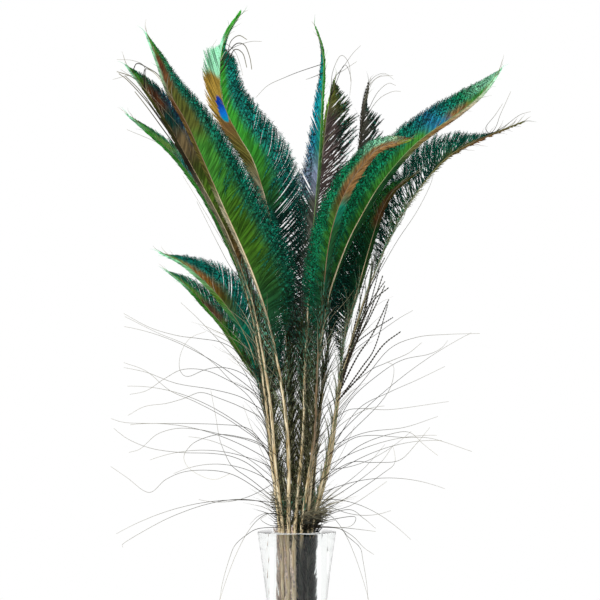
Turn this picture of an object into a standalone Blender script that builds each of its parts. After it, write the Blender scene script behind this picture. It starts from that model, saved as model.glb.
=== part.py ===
"""A bunch of peacock side feathers standing in a thick clear glass vase.

Metres, +Z up, +X to the right seen from the front, -Y towards the viewer.
The origin is the middle of the vase's underside, on the surface it stands on.
Each feather is one closed solid: a tapering quill that follows a smooth route,
a broad vane whose edge is parted into locks, a narrow vane with a thin edge,
and a few long loose barbs that leave the quill low down.
"""

import math

import bmesh
import bpy
import numpy as np
from mathutils import Vector

MM = 0.001

# The vase: outside an easy waist, inside a straight well.
VASE_HEIGHT = 200 * MM
RIM_RADIUS = 39.5 * MM
WAIST_RADIUS = 27 * MM
FOOT_RADIUS = 34 * MM
WAIST_HEIGHT = 90 * MM
FLARE_UP = 1.37
FLARE_DOWN = 2.0
WELL_RADIUS = 21 * MM
WELL_FLOOR = 20 * MM
EDGE_BREAK = 0.8 * MM
VASE_SIDES = 32
LEVELS_BELOW_WAIST = 5
LEVELS_ABOVE_WAIST = 7

# The quills stand in a ring round the well, clear of its wall and floor.
QUILL_RING = 17.0 * MM
FOOT_GATHER = 0.9
FLOOR_GAP = 0.5 * MM
QUILL_HALF_WIDTH = 2.1 * MM
TIP_HALF_WIDTH = 0.35 * MM

# The routes were read in millimetres off a front view from this far away.
# What stands nearer the viewer than the vase's axis is really a little smaller.
VIEW_DISTANCE = 3000.0
VIEW_CENTRE = (3.0, 431.0)

# How the vanes are parted.
BARB_ANGLE_LOW = 52.0
BARB_ANGLE_HIGH = 20.0
SHEET_SHARE = 0.62
SHEET_HALF_THICKNESS = 0.35 * MM
VANE_FULL_BY = 0.3
TIP_TAPER = 0.55
PLUME_LOSS = 0.7
QUILL_STEP_IN_WELL = 60 * MM
QUILL_STEP = 23 * MM

# The short tufts between the rim and the vanes, outwards and to the bunch's middle.
TUFTS_FROM = 208 * MM
TUFT_OUT = 9 * MM
TUFT_IN = 6 * MM
TUFT_RISE = 9 * MM

# The loose barbs.
WISP_HALF_WIDTH = 0.55 * MM
WISP_END_HALF_WIDTH = 0.22 * MM
WISP_STEPS = 5
WISP_ROOT_HALF_LENGTH = 1.5 * MM


class Feather:
    """One feather as a buyer would describe it, all lengths in millimetres.

    angle      where its quill stands round the well, degrees, 270 is the front
    route      (across, up) of the quill from just above the rim to the tip
    lean       how far behind the vase's axis the tip is
    side       +1 if the broad vane is on the right of the quill, -1 if on the left
    turn       degrees by which the broad vane is turned away to the back
    vane_from  height at which the vane starts
    width      the broad vane's greatest width
    outer      the narrow vane's greatest width
    locks      how many locks the broad vane is parted into
    wisps      loose barbs: height of the root, then tip as (across, depth, up), then sag
    outer_taper  how the narrow vane closes, small for one that stays wide
    plume_from   share of the vane from which only a thin plume is left
    """

    def __init__(self, name, colour, angle, route, lean, side, turn,
                 vane_from, width, outer, locks, wisps,
                 outer_taper=TIP_TAPER, plume_from=1.0):
        self.name = name
        self.colour = colour
        self.angle = angle
        self.route = route
        self.lean = lean
        self.side = side
        self.turn = turn
        self.vane_from = vane_from
        self.width = width
        self.outer = outer
        self.locks = locks
        self.wisps = wisps
        self.outer_taper = outer_taper
        self.plume_from = plume_from


FEATHERS = [
    Feather(
        "feather_tall_left", (0.10, 0.34, 0.07), 241,
        [(-9, 292), (-21, 378), (-41, 450), (-76, 531), (-108, 604), (-128, 640),
         (-139, 670), (-150, 698)],
        lean=-85, side=1, turn=-8, vane_from=335, width=47, outer=6, locks=35,
        wisps=[(262, (-96, -60, 236), 26), (238, (-52, -95, 330), 20)],
    ),
    Feather(
        "feather_slim_left", (0.12, 0.14, 0.07), 215,
        [(-21, 262), (-27, 332), (-41, 415), (-51, 449), (-71, 501), (-100, 556),
         (-131, 611), (-150, 640), (-170, 666)],
        lean=-50, side=1, turn=42, vane_from=405, width=34, outer=6, locks=28,
        wisps=[(268, (-165, -30, 308), -28), (246, (-120, -70, 262), -30),
               (216, (-77, -34, 132), -62)],
    ),
    Feather(
        "feather_low_left", (0.06, 0.30, 0.16), 180,
        [(-25, 271), (-31, 331), (-40, 391), (-50, 436), (-64, 475), (-90, 531),
         (-120, 573), (-144, 596), (-168, 616)],
        lean=5, side=1, turn=58, vane_from=405, width=30, outer=5, locks=24,
        wisps=[(282, (-170, 10, 345), -34), (330, (-172, -12, 405), -26),
               (228, (-182, 20, 196), -30)],
    ),
    Feather(
        "feather_eyed", (0.02, 0.30, 0.17), 90,
        [(-5, 271), (-9, 381), (-14, 441), (-21, 492), (-41, 564), (-57, 594),
         (-69, 617), (-76, 640), (-76, 675), (-70, 697), (-57, 716)],
        lean=35, side=1, turn=4, vane_from=360, width=50, outer=16, locks=34,
        wisps=[(250, (-40, 130, 330), 18), (275, (20, 140, 380), 22)],
        outer_taper=0.15, plume_from=0.9,
    ),
    Feather(
        "feather_centre", (0.03, 0.33, 0.28), 263,
        [(6, 291), (8, 360), (14, 471), (19, 531), (23, 585), (25, 624), (27, 665),
         (25, 685), (19, 703)],
        lean=-40, side=-1, turn=60, vane_from=345, width=38, outer=4, locks=30,
        wisps=[(224, (-14, -112, 262), 22), (243, (30, -120, 318), 24)],
    ),
    Feather(
        "feather_brown", (0.06, 0.045, 0.035), 60,
        [(10, 300), (13, 431), (17, 501), (23, 556), (27, 588), (31, 620), (38, 650)],
        lean=70, side=1, turn=0, vane_from=350, width=44, outer=4, locks=26,
        wisps=[(236, (60, 128, 300), 24), (290, (62, 110, 420), 16)],
    ),
    Feather(
        "feather_dark", (0.04, 0.05, 0.035), 33,
        [(19, 281), (28, 361), (36, 421), (46, 481), (55, 531), (62, 579), (66, 624),
         (72, 648)],
        lean=105, side=1, turn=60, vane_from=385, width=34, outer=4, locks=22,
        wisps=[(262, (118, 96, 296), 26)],
    ),
    Feather(
        "feather_bronze", (0.42, 0.20, 0.06), 285,
        [(17, 291), (21, 371), (26, 431), (31, 481), (39, 516), (50, 542), (64, 564),
         (82, 583), (112, 592)],
        lean=-115, side=-1, turn=8, vane_from=380, width=24, outer=9, locks=24,
        wisps=[(276, (84, -128, 330), -24)],
    ),
    Feather(
        "feather_long_right", (0.03, 0.32, 0.16), 307,
        [(18, 301), (20, 355), (29, 421), (37, 452), (50, 487), (62, 511), (84, 548),
         (119, 588), (164, 620), (187, 640), (203, 662)],
        lean=-90, side=-1, turn=8, vane_from=345, width=44, outer=5, locks=36,
        wisps=[(240, (92, -72, 226), 24), (256, (136, -84, 300), -22)],
    ),
    Feather(
        "feather_far_right", (0.05, 0.15, 0.08), 8,
        [(33, 271), (40, 321), (48, 366), (69, 436), (95, 497), (119, 538), (150, 574),
         (187, 594), (226, 610)],
        lean=60, side=-1, turn=34, vane_from=375, width=36, outer=5, locks=30,
        wisps=[(290, (178, 60, 398), -20), (238, (150, 44, 240), -26)],
    ),
    Feather(
        "feather_olive", (0.05, 0.19, 0.07), 333,
        [(32, 281), (40, 332), (47, 389), (54, 418), (63, 450), (77, 499), (86, 524),
         (98, 542), (117, 557)],
        lean=-45, side=-1, turn=28, vane_from=330, width=38, outer=5, locks=26,
        wisps=[(250, (144, -24, 292), -24), (232, (112, -52, 196), -26),
               (216, (72, -40, 132), -62)],
    ),
    Feather(
        "feather_short_upper", (0.28, 0.22, 0.06), 148,
        [(-27, 291), (-36, 341), (-45, 379), (-57, 406), (-72, 428), (-87, 445),
         (-102, 459), (-117, 470), (-136, 479)],
        lean=45, side=1, turn=26, vane_from=312, width=42, outer=7, locks=20,
        wisps=[(262, (-150, 66, 268), -28)],
    ),
    Feather(
        "feather_short_lower", (0.10, 0.24, 0.06), 120,
        [(-25, 291), (-32, 337), (-45, 360), (-60, 384), (-74, 406), (-93, 427),
         (-111, 446), (-130, 461)],
        lean=75, side=1, turn=54, vane_from=306, width=34, outer=6, locks=18,
        wisps=[(244, (-112, 104, 290), -22)],
    ),
]

GLASS = (0.93, 0.97, 0.95)


def clear_scene():
    for thing in list(bpy.data.objects):
        bpy.data.objects.remove(thing, do_unlink=True)


def principled(name, colour, roughness, transmission=0.0):
    """A material with the part's colour, no metal in it."""
    material = bpy.data.materials.new(name)
    material.use_nodes = True
    shader = material.node_tree.nodes["Principled BSDF"]
    shader.inputs["Base Color"].default_value = (*colour, 1.0)
    shader.inputs["Roughness"].default_value = roughness
    shader.inputs["Metallic"].default_value = 0.0
    shader.inputs["Transmission Weight"].default_value = transmission
    return material


def add_object(name, bm, material):
    """Turns a bmesh into a named object with outward faces."""
    bmesh.ops.recalc_face_normals(bm, faces=bm.faces)
    mesh = bpy.data.meshes.new(name)
    bm.to_mesh(mesh)
    bm.free()
    mesh.materials.append(material)
    thing = bpy.data.objects.new(name, mesh)
    bpy.context.scene.collection.objects.link(thing)
    return thing


# The vase


def outer_radius(height):
    """The glass's outer radius: least at the waist, opening to foot and rim."""
    if height >= WAIST_HEIGHT:
        share = (height - WAIST_HEIGHT) / (VASE_HEIGHT - WAIST_HEIGHT)
        return WAIST_RADIUS + (RIM_RADIUS - WAIST_RADIUS) * share**FLARE_UP
    share = (WAIST_HEIGHT - height) / WAIST_HEIGHT
    return WAIST_RADIUS + (FOOT_RADIUS - WAIST_RADIUS) * share**FLARE_DOWN


def vase_profile():
    """(radius, height) from the underside's edge, up the outside and down the well."""
    below = np.linspace(EDGE_BREAK, WAIST_HEIGHT, LEVELS_BELOW_WAIST)
    above = np.linspace(WAIST_HEIGHT, VASE_HEIGHT - EDGE_BREAK, LEVELS_ABOVE_WAIST)
    points = [(FOOT_RADIUS - EDGE_BREAK, 0.0)]
    points += [(outer_radius(h), h) for h in [*below, *above[1:]]]
    points += [
        (RIM_RADIUS - EDGE_BREAK, VASE_HEIGHT),
        (WELL_RADIUS + EDGE_BREAK, VASE_HEIGHT),
        (WELL_RADIUS, VASE_HEIGHT - EDGE_BREAK),
        (WELL_RADIUS, WELL_FLOOR + EDGE_BREAK),
        (WELL_RADIUS - EDGE_BREAK, WELL_FLOOR),
    ]
    return points


def make_vase():
    bm = bmesh.new()
    rings = []
    for radius, height in vase_profile():
        turns = [2 * math.pi * k / VASE_SIDES for k in range(VASE_SIDES)]
        ring = [(radius * math.cos(a), radius * math.sin(a), height) for a in turns]
        rings.append([bm.verts.new(point) for point in ring])
    loft(bm, rings)
    bm.faces.new(rings[0])
    bm.faces.new(rings[-1])
    return add_object("vase", bm, principled("clear glass", GLASS, 0.02, 1.0))


# The feathers


def loft(bm, rings):
    """Joins each ring of vertices to the next with quads. Returns them as rows."""
    rows = []
    for low, high in zip(rings, rings[1:]):
        row = []
        for k in range(len(low)):
            n = (k + 1) % len(low)
            row.append(bm.faces.new((low[k], low[n], high[n], high[k])))
        rows.append(row)
    return rows


def smooth_curve(points, steps=14):
    """A dense smooth curve through points, as an array."""
    held = [2 * points[0] - points[1], *points, 2 * points[-1] - points[-2]]
    dense = []
    for a, b, c, d in zip(held, held[1:], held[2:], held[3:]):
        for k in range(steps):
            t = k / steps
            dense.append(
                0.5 * (2 * b + (c - a) * t + (2 * a - 5 * b + 4 * c - d) * t**2
                       + (3 * b - a - 3 * c + d) * t**3)
            )
    dense.append(held[-2])
    return np.array(dense)


def seen_at(across, depth, up):
    """The real place, in metres, of what the front view shows at (across, up)."""
    scale = (VIEW_DISTANCE + depth) / VIEW_DISTANCE
    x = VIEW_CENTRE[0] + (across - VIEW_CENTRE[0]) * scale
    z = VIEW_CENTRE[1] + (up - VIEW_CENTRE[1]) * scale
    return np.array((x, depth, z)) * MM


def quill_route(feather):
    """The quill's centre line from its cut end in the well to the tip."""
    angle = math.radians(feather.angle)
    x, y = QUILL_RING * math.cos(angle), QUILL_RING * math.sin(angle)
    foot = np.array((x * FOOT_GATHER, y * FOOT_GATHER, WELL_FLOOR + FLOOR_GAP))
    rim = np.array((x, y, VASE_HEIGHT))
    points = [foot, 0.5 * (foot + rim), rim]
    top = feather.route[-1][1]
    for across, up in feather.route:
        share = ((up - VASE_HEIGHT / MM) / (top - VASE_HEIGHT / MM)) ** 1.2
        depth = y / MM + (feather.lean - y / MM) * share
        points.append(seen_at(across, depth, up))
    return smooth_curve(points)


class Route:
    """A curve that can be asked for its place and direction at a length along it."""

    def __init__(self, dense):
        self.points = dense
        steps = np.linalg.norm(np.diff(dense, axis=0), axis=1)
        self.lengths = np.concatenate(([0.0], np.cumsum(steps)))
        self.total = self.lengths[-1]

    def place(self, length):
        axes = [np.interp(length, self.lengths, self.points[:, k]) for k in range(3)]
        return Vector(axes)

    def direction(self, length):
        near = 3 * MM
        ahead = self.place(min(self.total, length + near))
        behind = self.place(max(0.0, length - near))
        return (ahead - behind).normalized()

    def length_at_height(self, height):
        return float(np.interp(height, self.points[:, 2], self.lengths))


def vane_axes(direction, side, turn):
    """Unit vectors towards the broad vane's edge and out of its face."""
    flat = Vector((direction.z, 0.0, -direction.x)).normalized() * side
    back = direction.cross(flat)
    if back.y < 0:
        back.negate()
    edge = flat * math.cos(turn) + back * math.sin(turn)
    face = direction.cross(edge).normalized()
    return edge, face


def smooth_step(low, high, value):
    t = min(1.0, max(0.0, (value - low) / (high - low)))
    return t * t * (3 - 2 * t)


def vane_width(share, greatest, taper, plume_from):
    """Width of a vane at a share of its length: quick to open, slow to close."""
    opening = smooth_step(0.0, VANE_FULL_BY, share)
    plume = 1.0 - PLUME_LOSS * smooth_step(plume_from - 0.02, plume_from + 0.03, share)
    return greatest * (0.08 + 0.92 * opening) * (1.0 - 0.995 * share) ** taper * plume


def quill_half(share):
    """Half the quill's width: nearly even where it is bare, thin within the vane."""
    taper = 0.75 * smooth_step(0.3, 0.75, share) + 0.25 * share
    return QUILL_HALF_WIDTH + (TIP_HALF_WIDTH - QUILL_HALF_WIDTH) * taper


def broad_width(feather, share):
    return vane_width(share, feather.width * MM, TIP_TAPER, feather.plume_from)


def narrow_width(feather, share):
    greatest = feather.outer * MM
    return vane_width(share, greatest, feather.outer_taper, feather.plume_from) + 0.3 * MM


class Station:
    """A place along the quill with its axes, half width and share of the vane."""

    def __init__(self, feather, route, length, vane_start):
        self.length = length
        self.centre = route.place(length)
        self.direction = route.direction(length)
        turn = math.radians(feather.turn)
        self.edge, self.face = vane_axes(self.direction, feather.side, turn)
        self.half = quill_half(length / route.total)
        self.share = (length - vane_start) / (route.total - vane_start)

    def corner(self, along_edge, along_face):
        return self.centre + self.edge * along_edge + self.face * along_face

    def barb(self):
        """The direction of the barbs of the broad vane here."""
        low, high = BARB_ANGLE_LOW, BARB_ANGLE_HIGH
        angle = math.radians(low + (high - low) * max(0.0, self.share))
        ahead = self.direction * math.cos(angle) + self.edge * math.sin(angle)
        return ahead, math.sin(angle)


def quill_lengths(route, vane_start, roots):
    """Where the bare quill has a ring: evenly, and on both sides of each root."""
    mouth = route.length_at_height(TUFTS_FROM)
    in_well = np.linspace(0.0, mouth, round(mouth / QUILL_STEP_IN_WELL) + 1)
    count = max(2, round((vane_start - mouth) / QUILL_STEP))
    even = [*in_well[:-1], *np.linspace(mouth, vane_start, count + 1)]
    pairs = [r + s * WISP_ROOT_HALF_LENGTH for r in roots for s in (-1, 1)]
    clear = 4 * WISP_ROOT_HALF_LENGTH
    kept = [e for e in even if all(abs(e - r) > clear for r in roots)]
    return sorted([*kept, *pairs])


def quill_ring(bm, station):
    """Four corners round the quill, from the narrow side over the face."""
    h = station.half
    signs = ((-1, 1), (1, 1), (1, -1), (-1, -1))
    return [bm.verts.new(station.corner(e * h, f * h)) for e, f in signs]


def vane_ring(bm, station, feather):
    """The quill's four corners, the broad sheet's outer edge and the thin edge."""
    h = station.half
    narrow_up, broad_up, broad_low, narrow_low = quill_ring(bm, station)
    barb, sine = station.barb()
    width = broad_width(feather, station.share)
    reach = SHEET_SHARE * width / sine
    thin = min(SHEET_HALF_THICKNESS, 0.8 * h)
    outer = station.centre + station.edge * h + barb * reach
    sheet_up = bm.verts.new(outer + station.face * thin)
    sheet_low = bm.verts.new(outer - station.face * thin)
    narrow = narrow_width(feather, station.share)
    ahead = station.direction * narrow
    thin_edge = bm.verts.new(station.centre - station.edge * (h + narrow) + ahead)
    ring = [thin_edge, narrow_up, broad_up, sheet_up, sheet_low, broad_low, narrow_low]
    return ring


SHEET_FACE = 3  # the face between sheet_up and sheet_low in a row of the vane


def part_into_locks(bm, rows, stations, feather):
    """Draws the outer face of each stretch of the sheet out to a point."""
    for row, low, high in zip(rows, stations, stations[1:]):
        barb, sine = low.barb()
        share = 0.5 * (low.share + high.share)
        width = broad_width(feather, share)
        sheet = row[SHEET_FACE]
        tip = sheet.calc_center_median() + barb * ((1 - SHEET_SHARE) * width / sine)
        made = bmesh.ops.poke(bm, faces=[sheet])
        made["verts"][0].co = tip


def sprout(bm, face, root, tip, sag):
    """Draws a face of the quill out into a long thin barb that ends at tip."""
    middle = 0.5 * (root + tip) + Vector((0.0, 0.0, -sag))
    reach = (tip - root).normalized()
    across = reach.cross(Vector((0.0, 0.0, 1.0))).normalized()
    for step in range(1, WISP_STEPS + 1):
        t = step / WISP_STEPS
        place = root * (1 - t) ** 2 + middle * 2 * t * (1 - t) + tip * t * t
        half = WISP_HALF_WIDTH + (WISP_END_HALF_WIDTH - WISP_HALF_WIDTH) * t
        ahead = (tip - middle) * t + (middle - root) * (1 - t)
        up = across.cross(ahead).normalized()
        made = bmesh.ops.extrude_discrete_faces(bm, faces=[face])
        face = made["faces"][0]
        centre = face.calc_center_median()
        upper = sorted(face.verts, key=lambda v: (v.co - centre).dot(up))
        for pair, rise in ((upper[:2], -1), (upper[2:], 1)):
            pair.sort(key=lambda v: (v.co - centre).dot(across))
            for vert, sideways in zip(pair, (-1, 1)):
                vert.co = place + up * (rise * half) + across * (sideways * half)


def facing(row, station, tip):
    """The face of a quill row that looks most towards tip."""
    outward = (station.edge * -1, station.face, station.edge, station.face * -1)
    wanted = tip - station.centre
    scores = [side.dot(wanted) for side in outward]
    # a row runs over the face first, then the broad side, the back, the narrow side
    order = (1, 2, 3, 0)
    return row[max(range(4), key=lambda k: scores[order[k]])]


def add_tufts(bm, rows, stations, kept):
    """Draws the outer and inner faces of the free quill above the rim into tufts."""
    for index, (row, low) in enumerate(zip(rows, stations)):
        if low.centre.z < TUFTS_FROM - FLOOR_GAP or index in kept:
            continue
        outward = Vector((low.centre.x, low.centre.y, 0.0)).normalized()
        for way, reach in ((outward, TUFT_OUT), (-outward, TUFT_IN)):
            face = facing(row, low, low.centre + way)
            tip = face.calc_center_median() + way * reach
            made = bmesh.ops.poke(bm, faces=[face])
            made["verts"][0].co = tip + Vector((0.0, 0.0, TUFT_RISE))


def make_feather(feather):
    route = Route(quill_route(feather))
    vane_start = route.length_at_height(feather.vane_from * MM)
    roots = [route.length_at_height(w[0] * MM) for w in feather.wisps]
    lengths = quill_lengths(route, vane_start, roots)
    stations = [Station(feather, route, s, vane_start) for s in lengths]
    spread = np.linspace(vane_start, route.total, feather.locks + 1)
    vane = [Station(feather, route, s, vane_start) for s in spread]

    bm = bmesh.new()
    wide = [vane_ring(bm, station, feather) for station in vane]
    narrow = [quill_ring(bm, station) for station in stations[:-1]]
    narrow.append([wide[0][1], wide[0][2], wide[0][5], wide[0][6]])
    quill_rows = loft(bm, narrow)
    vane_rows = loft(bm, wide)
    bm.faces.new(narrow[0])
    for thin_edge, up_n, up_b, sheet_up, sheet_low, low_b, low_n in (wide[0], wide[-1]):
        bm.faces.new((thin_edge, up_n, low_n))
        bm.faces.new((up_b, sheet_up, sheet_low, low_b))
    last = wide[-1]
    bm.faces.new((last[1], last[2], last[5], last[6]))
    part_into_locks(bm, vane_rows, vane, feather)
    starts = [lengths.index(root - WISP_ROOT_HALF_LENGTH) for root in roots]
    add_tufts(bm, quill_rows, stations, starts)
    for index, root, (_, tip, sag) in zip(starts, roots, feather.wisps):
        tip = Vector(tip) * MM
        face = facing(quill_rows[index], stations[index], tip)
        sprout(bm, face, route.place(root), tip, sag * MM)
    material = principled(feather.name + " barbs", feather.colour, 0.5)
    return add_object(feather.name, bm, material)


clear_scene()
make_vase()
for feather in FEATHERS:
    make_feather(feather)
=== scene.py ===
# %% [markdown]
# # Peacock side feathers in a clear glass vase
#
# A peacock's side feathers, sold as "sword" feathers, are long and one-sided: a broad
# vane on one side of the quill, a narrow one on the other, and hardly an eye. Thirteen
# of them stand in a slim vase of thick clear glass.
#
# The frame brings the faceted solids of the fourteen pieces. This script grows the
# visible surface on the same routes, because a feather is known by its single barbs.
# Hair curves or particles could draw them, but only a mesh lasts in the exported model,
# so Geometry Nodes lay real ribbons and spikes. Tables are in millimetres as the front
# view shows them, and everything else is in metres.

# %% Load the frame
import math
from dataclasses import dataclass

import bmesh
import bpy
import numpy as np
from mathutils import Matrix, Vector


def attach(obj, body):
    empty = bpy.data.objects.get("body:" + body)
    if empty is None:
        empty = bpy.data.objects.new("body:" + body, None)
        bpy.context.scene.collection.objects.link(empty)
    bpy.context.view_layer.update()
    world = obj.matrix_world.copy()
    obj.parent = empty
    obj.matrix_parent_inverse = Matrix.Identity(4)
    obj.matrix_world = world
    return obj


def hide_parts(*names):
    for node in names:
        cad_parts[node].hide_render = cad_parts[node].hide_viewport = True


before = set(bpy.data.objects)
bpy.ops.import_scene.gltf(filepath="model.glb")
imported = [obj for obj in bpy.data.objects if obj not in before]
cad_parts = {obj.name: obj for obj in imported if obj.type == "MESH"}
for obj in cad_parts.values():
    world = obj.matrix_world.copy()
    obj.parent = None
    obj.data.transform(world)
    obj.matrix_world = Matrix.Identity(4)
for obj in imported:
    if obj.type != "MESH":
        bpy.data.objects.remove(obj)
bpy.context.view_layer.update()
MM = 0.001

# %% [markdown]
# ## Sizes shared with the solids
#
# The vase is a waisted block of glass with a straight well. The quills stand in a ring
# in the well and gather a little towards its floor. All these numbers are the solids'
# own, because the visible surface has to lie on the solids.
#
# The routes were read off a front view from three metres away. There a thing nearer the
# viewer looks larger than it is, and `seen_at` below corrects that.

# %% Sizes in millimetres
VASE_HEIGHT = 200.0
RIM_RADIUS = 39.5
WAIST_RADIUS = 27.0
FOOT_RADIUS = 34.0
WAIST_HEIGHT = 90.0
FLARE_UP = 1.37
FLARE_DOWN = 2.0
WELL_RADIUS = 21.0
WELL_FLOOR = 20.0
EDGE_BREAK = 0.8
QUILL_RING = 17.0
FOOT_GATHER = 0.9
FLOOR_GAP = 0.5
QUILL_HALF_WIDTH = 2.1
TIP_HALF_WIDTH = 0.35
VIEW_DISTANCE = 3000.0
VIEW_CENTRE = (3.0, 431.0)
print("vase", VASE_HEIGHT, "mm tall,", 2 * RIM_RADIUS, "mm across the rim")

# %% [markdown]
# ## Colours
#
# A barb has hardly any pigment but brown. Its green and blue are a sheen that comes from
# the fine structure of the barbules, and where the light misses it the barb is nearly
# black. A thin film in the shader could give that sheen, but its colours slide with the
# view and the exported model would lose them. So the bands of colour are base colours,
# made a little metallic. These are the ones that side feathers have, as linear values.

# %% Palette
COLOURS = {
    "bright": (0.04, 0.29, 0.026),
    "leaf": (0.045, 0.215, 0.024),
    "lime": (0.13, 0.28, 0.025),
    "teal": (0.005, 0.20, 0.12),
    "sea": (0.007, 0.27, 0.10),
    "darkteal": (0.005, 0.05, 0.038),
    "blackgreen": (0.004, 0.012, 0.008),
    "orange": (0.33, 0.13, 0.02),
    "gold": (0.42, 0.27, 0.045),
    "khaki": (0.17, 0.15, 0.03),
    "moss": (0.05, 0.15, 0.01),
    "fern": (0.012, 0.075, 0.02),
    "plum": (0.060, 0.043, 0.040),
    "tan": (0.24, 0.13, 0.045),
    "azure": (0.015, 0.20, 0.36),
    "aqua": (0.008, 0.26, 0.21),
    "redbrown": (0.11, 0.04, 0.014),
    "pinkbrown": (0.21, 0.15, 0.07),
    "olive": (0.088, 0.10, 0.018),
    "brown": (0.13, 0.058, 0.02),
    "darkbrown": (0.030, 0.020, 0.014),
    "blue": (0.005, 0.23, 0.85),
    "deepblue": (0.004, 0.05, 0.40),
    "cyan": (0.0, 0.38, 0.50),
    "palegreen": (0.40, 0.92, 0.58),
    "lavender": (0.28, 0.33, 0.48),
    "steel": (0.06, 0.16, 0.36),
    # painted highlight: the colour of the painted glints on the barbs
    "glint": (0.01, 0.42, 0.30),
    "mauve": (0.60, 0.48, 0.40),
    "grey": (0.09, 0.09, 0.07),
    "straw": (0.36, 0.33, 0.22),
}
print(len(COLOURS), "colours")

# %% [markdown]
# ## The feathers
#
# Each feather has its own route, size and bands of colour, but all grow in the same way.
# They could be modelled one by one. A table with one row for each keeps them alike where
# real ones are alike, and any of them can be changed by a number.
#
# `near` runs along the broad vane beside the quill and `far` along its outer edge, both
# from the lowest barb (0) to the tip (1). `thin` is the narrow vane.


# %% What a feather is
@dataclass
class Feather:
    """One feather. Lengths in millimetres, angles in degrees.

    angle        where its quill stands round the well, 270 is the front
    route        (across, up) of the quill from just above the rim to the tip
    lean         how far behind the vase's axis the tip is
    side         +1 if the broad vane is on the right of the quill, -1 if on the left
    turn         by how much the broad vane is turned away to the back
    vane_from    height at which the vane starts
    width        the broad vane's greatest width, `outer` the narrow one's
    barbs        how close its barbs stand, about as many as the eye can count
    fuzz         length of its barbules
    well         colour of its down inside the vase
    inner        share of a barb that has the colour of `near`
    wisps        loose barbs of the solid: root's height, tip (across, depth, up), sag
    full_by      share of the length at which the broad vane has its full width
    full         how long it stays wide, `taper` how fast it closes then
    outer_by     share of the length at which the narrow vane has its full width
    outer_taper  how fast the narrow vane closes
    plume_from   share of the length above which only a thin plume is left
    open_to      share of the vane up to which the barbs don't close to a sheet
    wild         how much its barbs stray everywhere
    stray        stray barbs over the vane, as a share of its barbs
    down         how many soft barbs its quill has below the vane
    pale         how much lighter its soft barbs are than the others'
    bare_to      share of the quill that is cream, `covered` its colour above that
    """

    name: str
    angle: float
    route: list
    lean: float
    side: int
    turn: float
    vane_from: float
    width: float
    outer: float
    barbs: int
    fuzz: float
    well: str
    near: list
    far: list
    thin: list
    inner: float
    wisps: list
    full_by: float = 0.3
    full: float = 2.0
    taper: float = 1.0
    outer_by: float = 0.6
    outer_taper: float = 0.55
    plume_from: float = 1.0
    open_to: float = 0.26
    wild: float = 0.01
    stray: float = 0.25
    down: int = 60
    pale: float = 0.0
    bare_to: float = 0.72
    covered: str = "olive"


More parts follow.
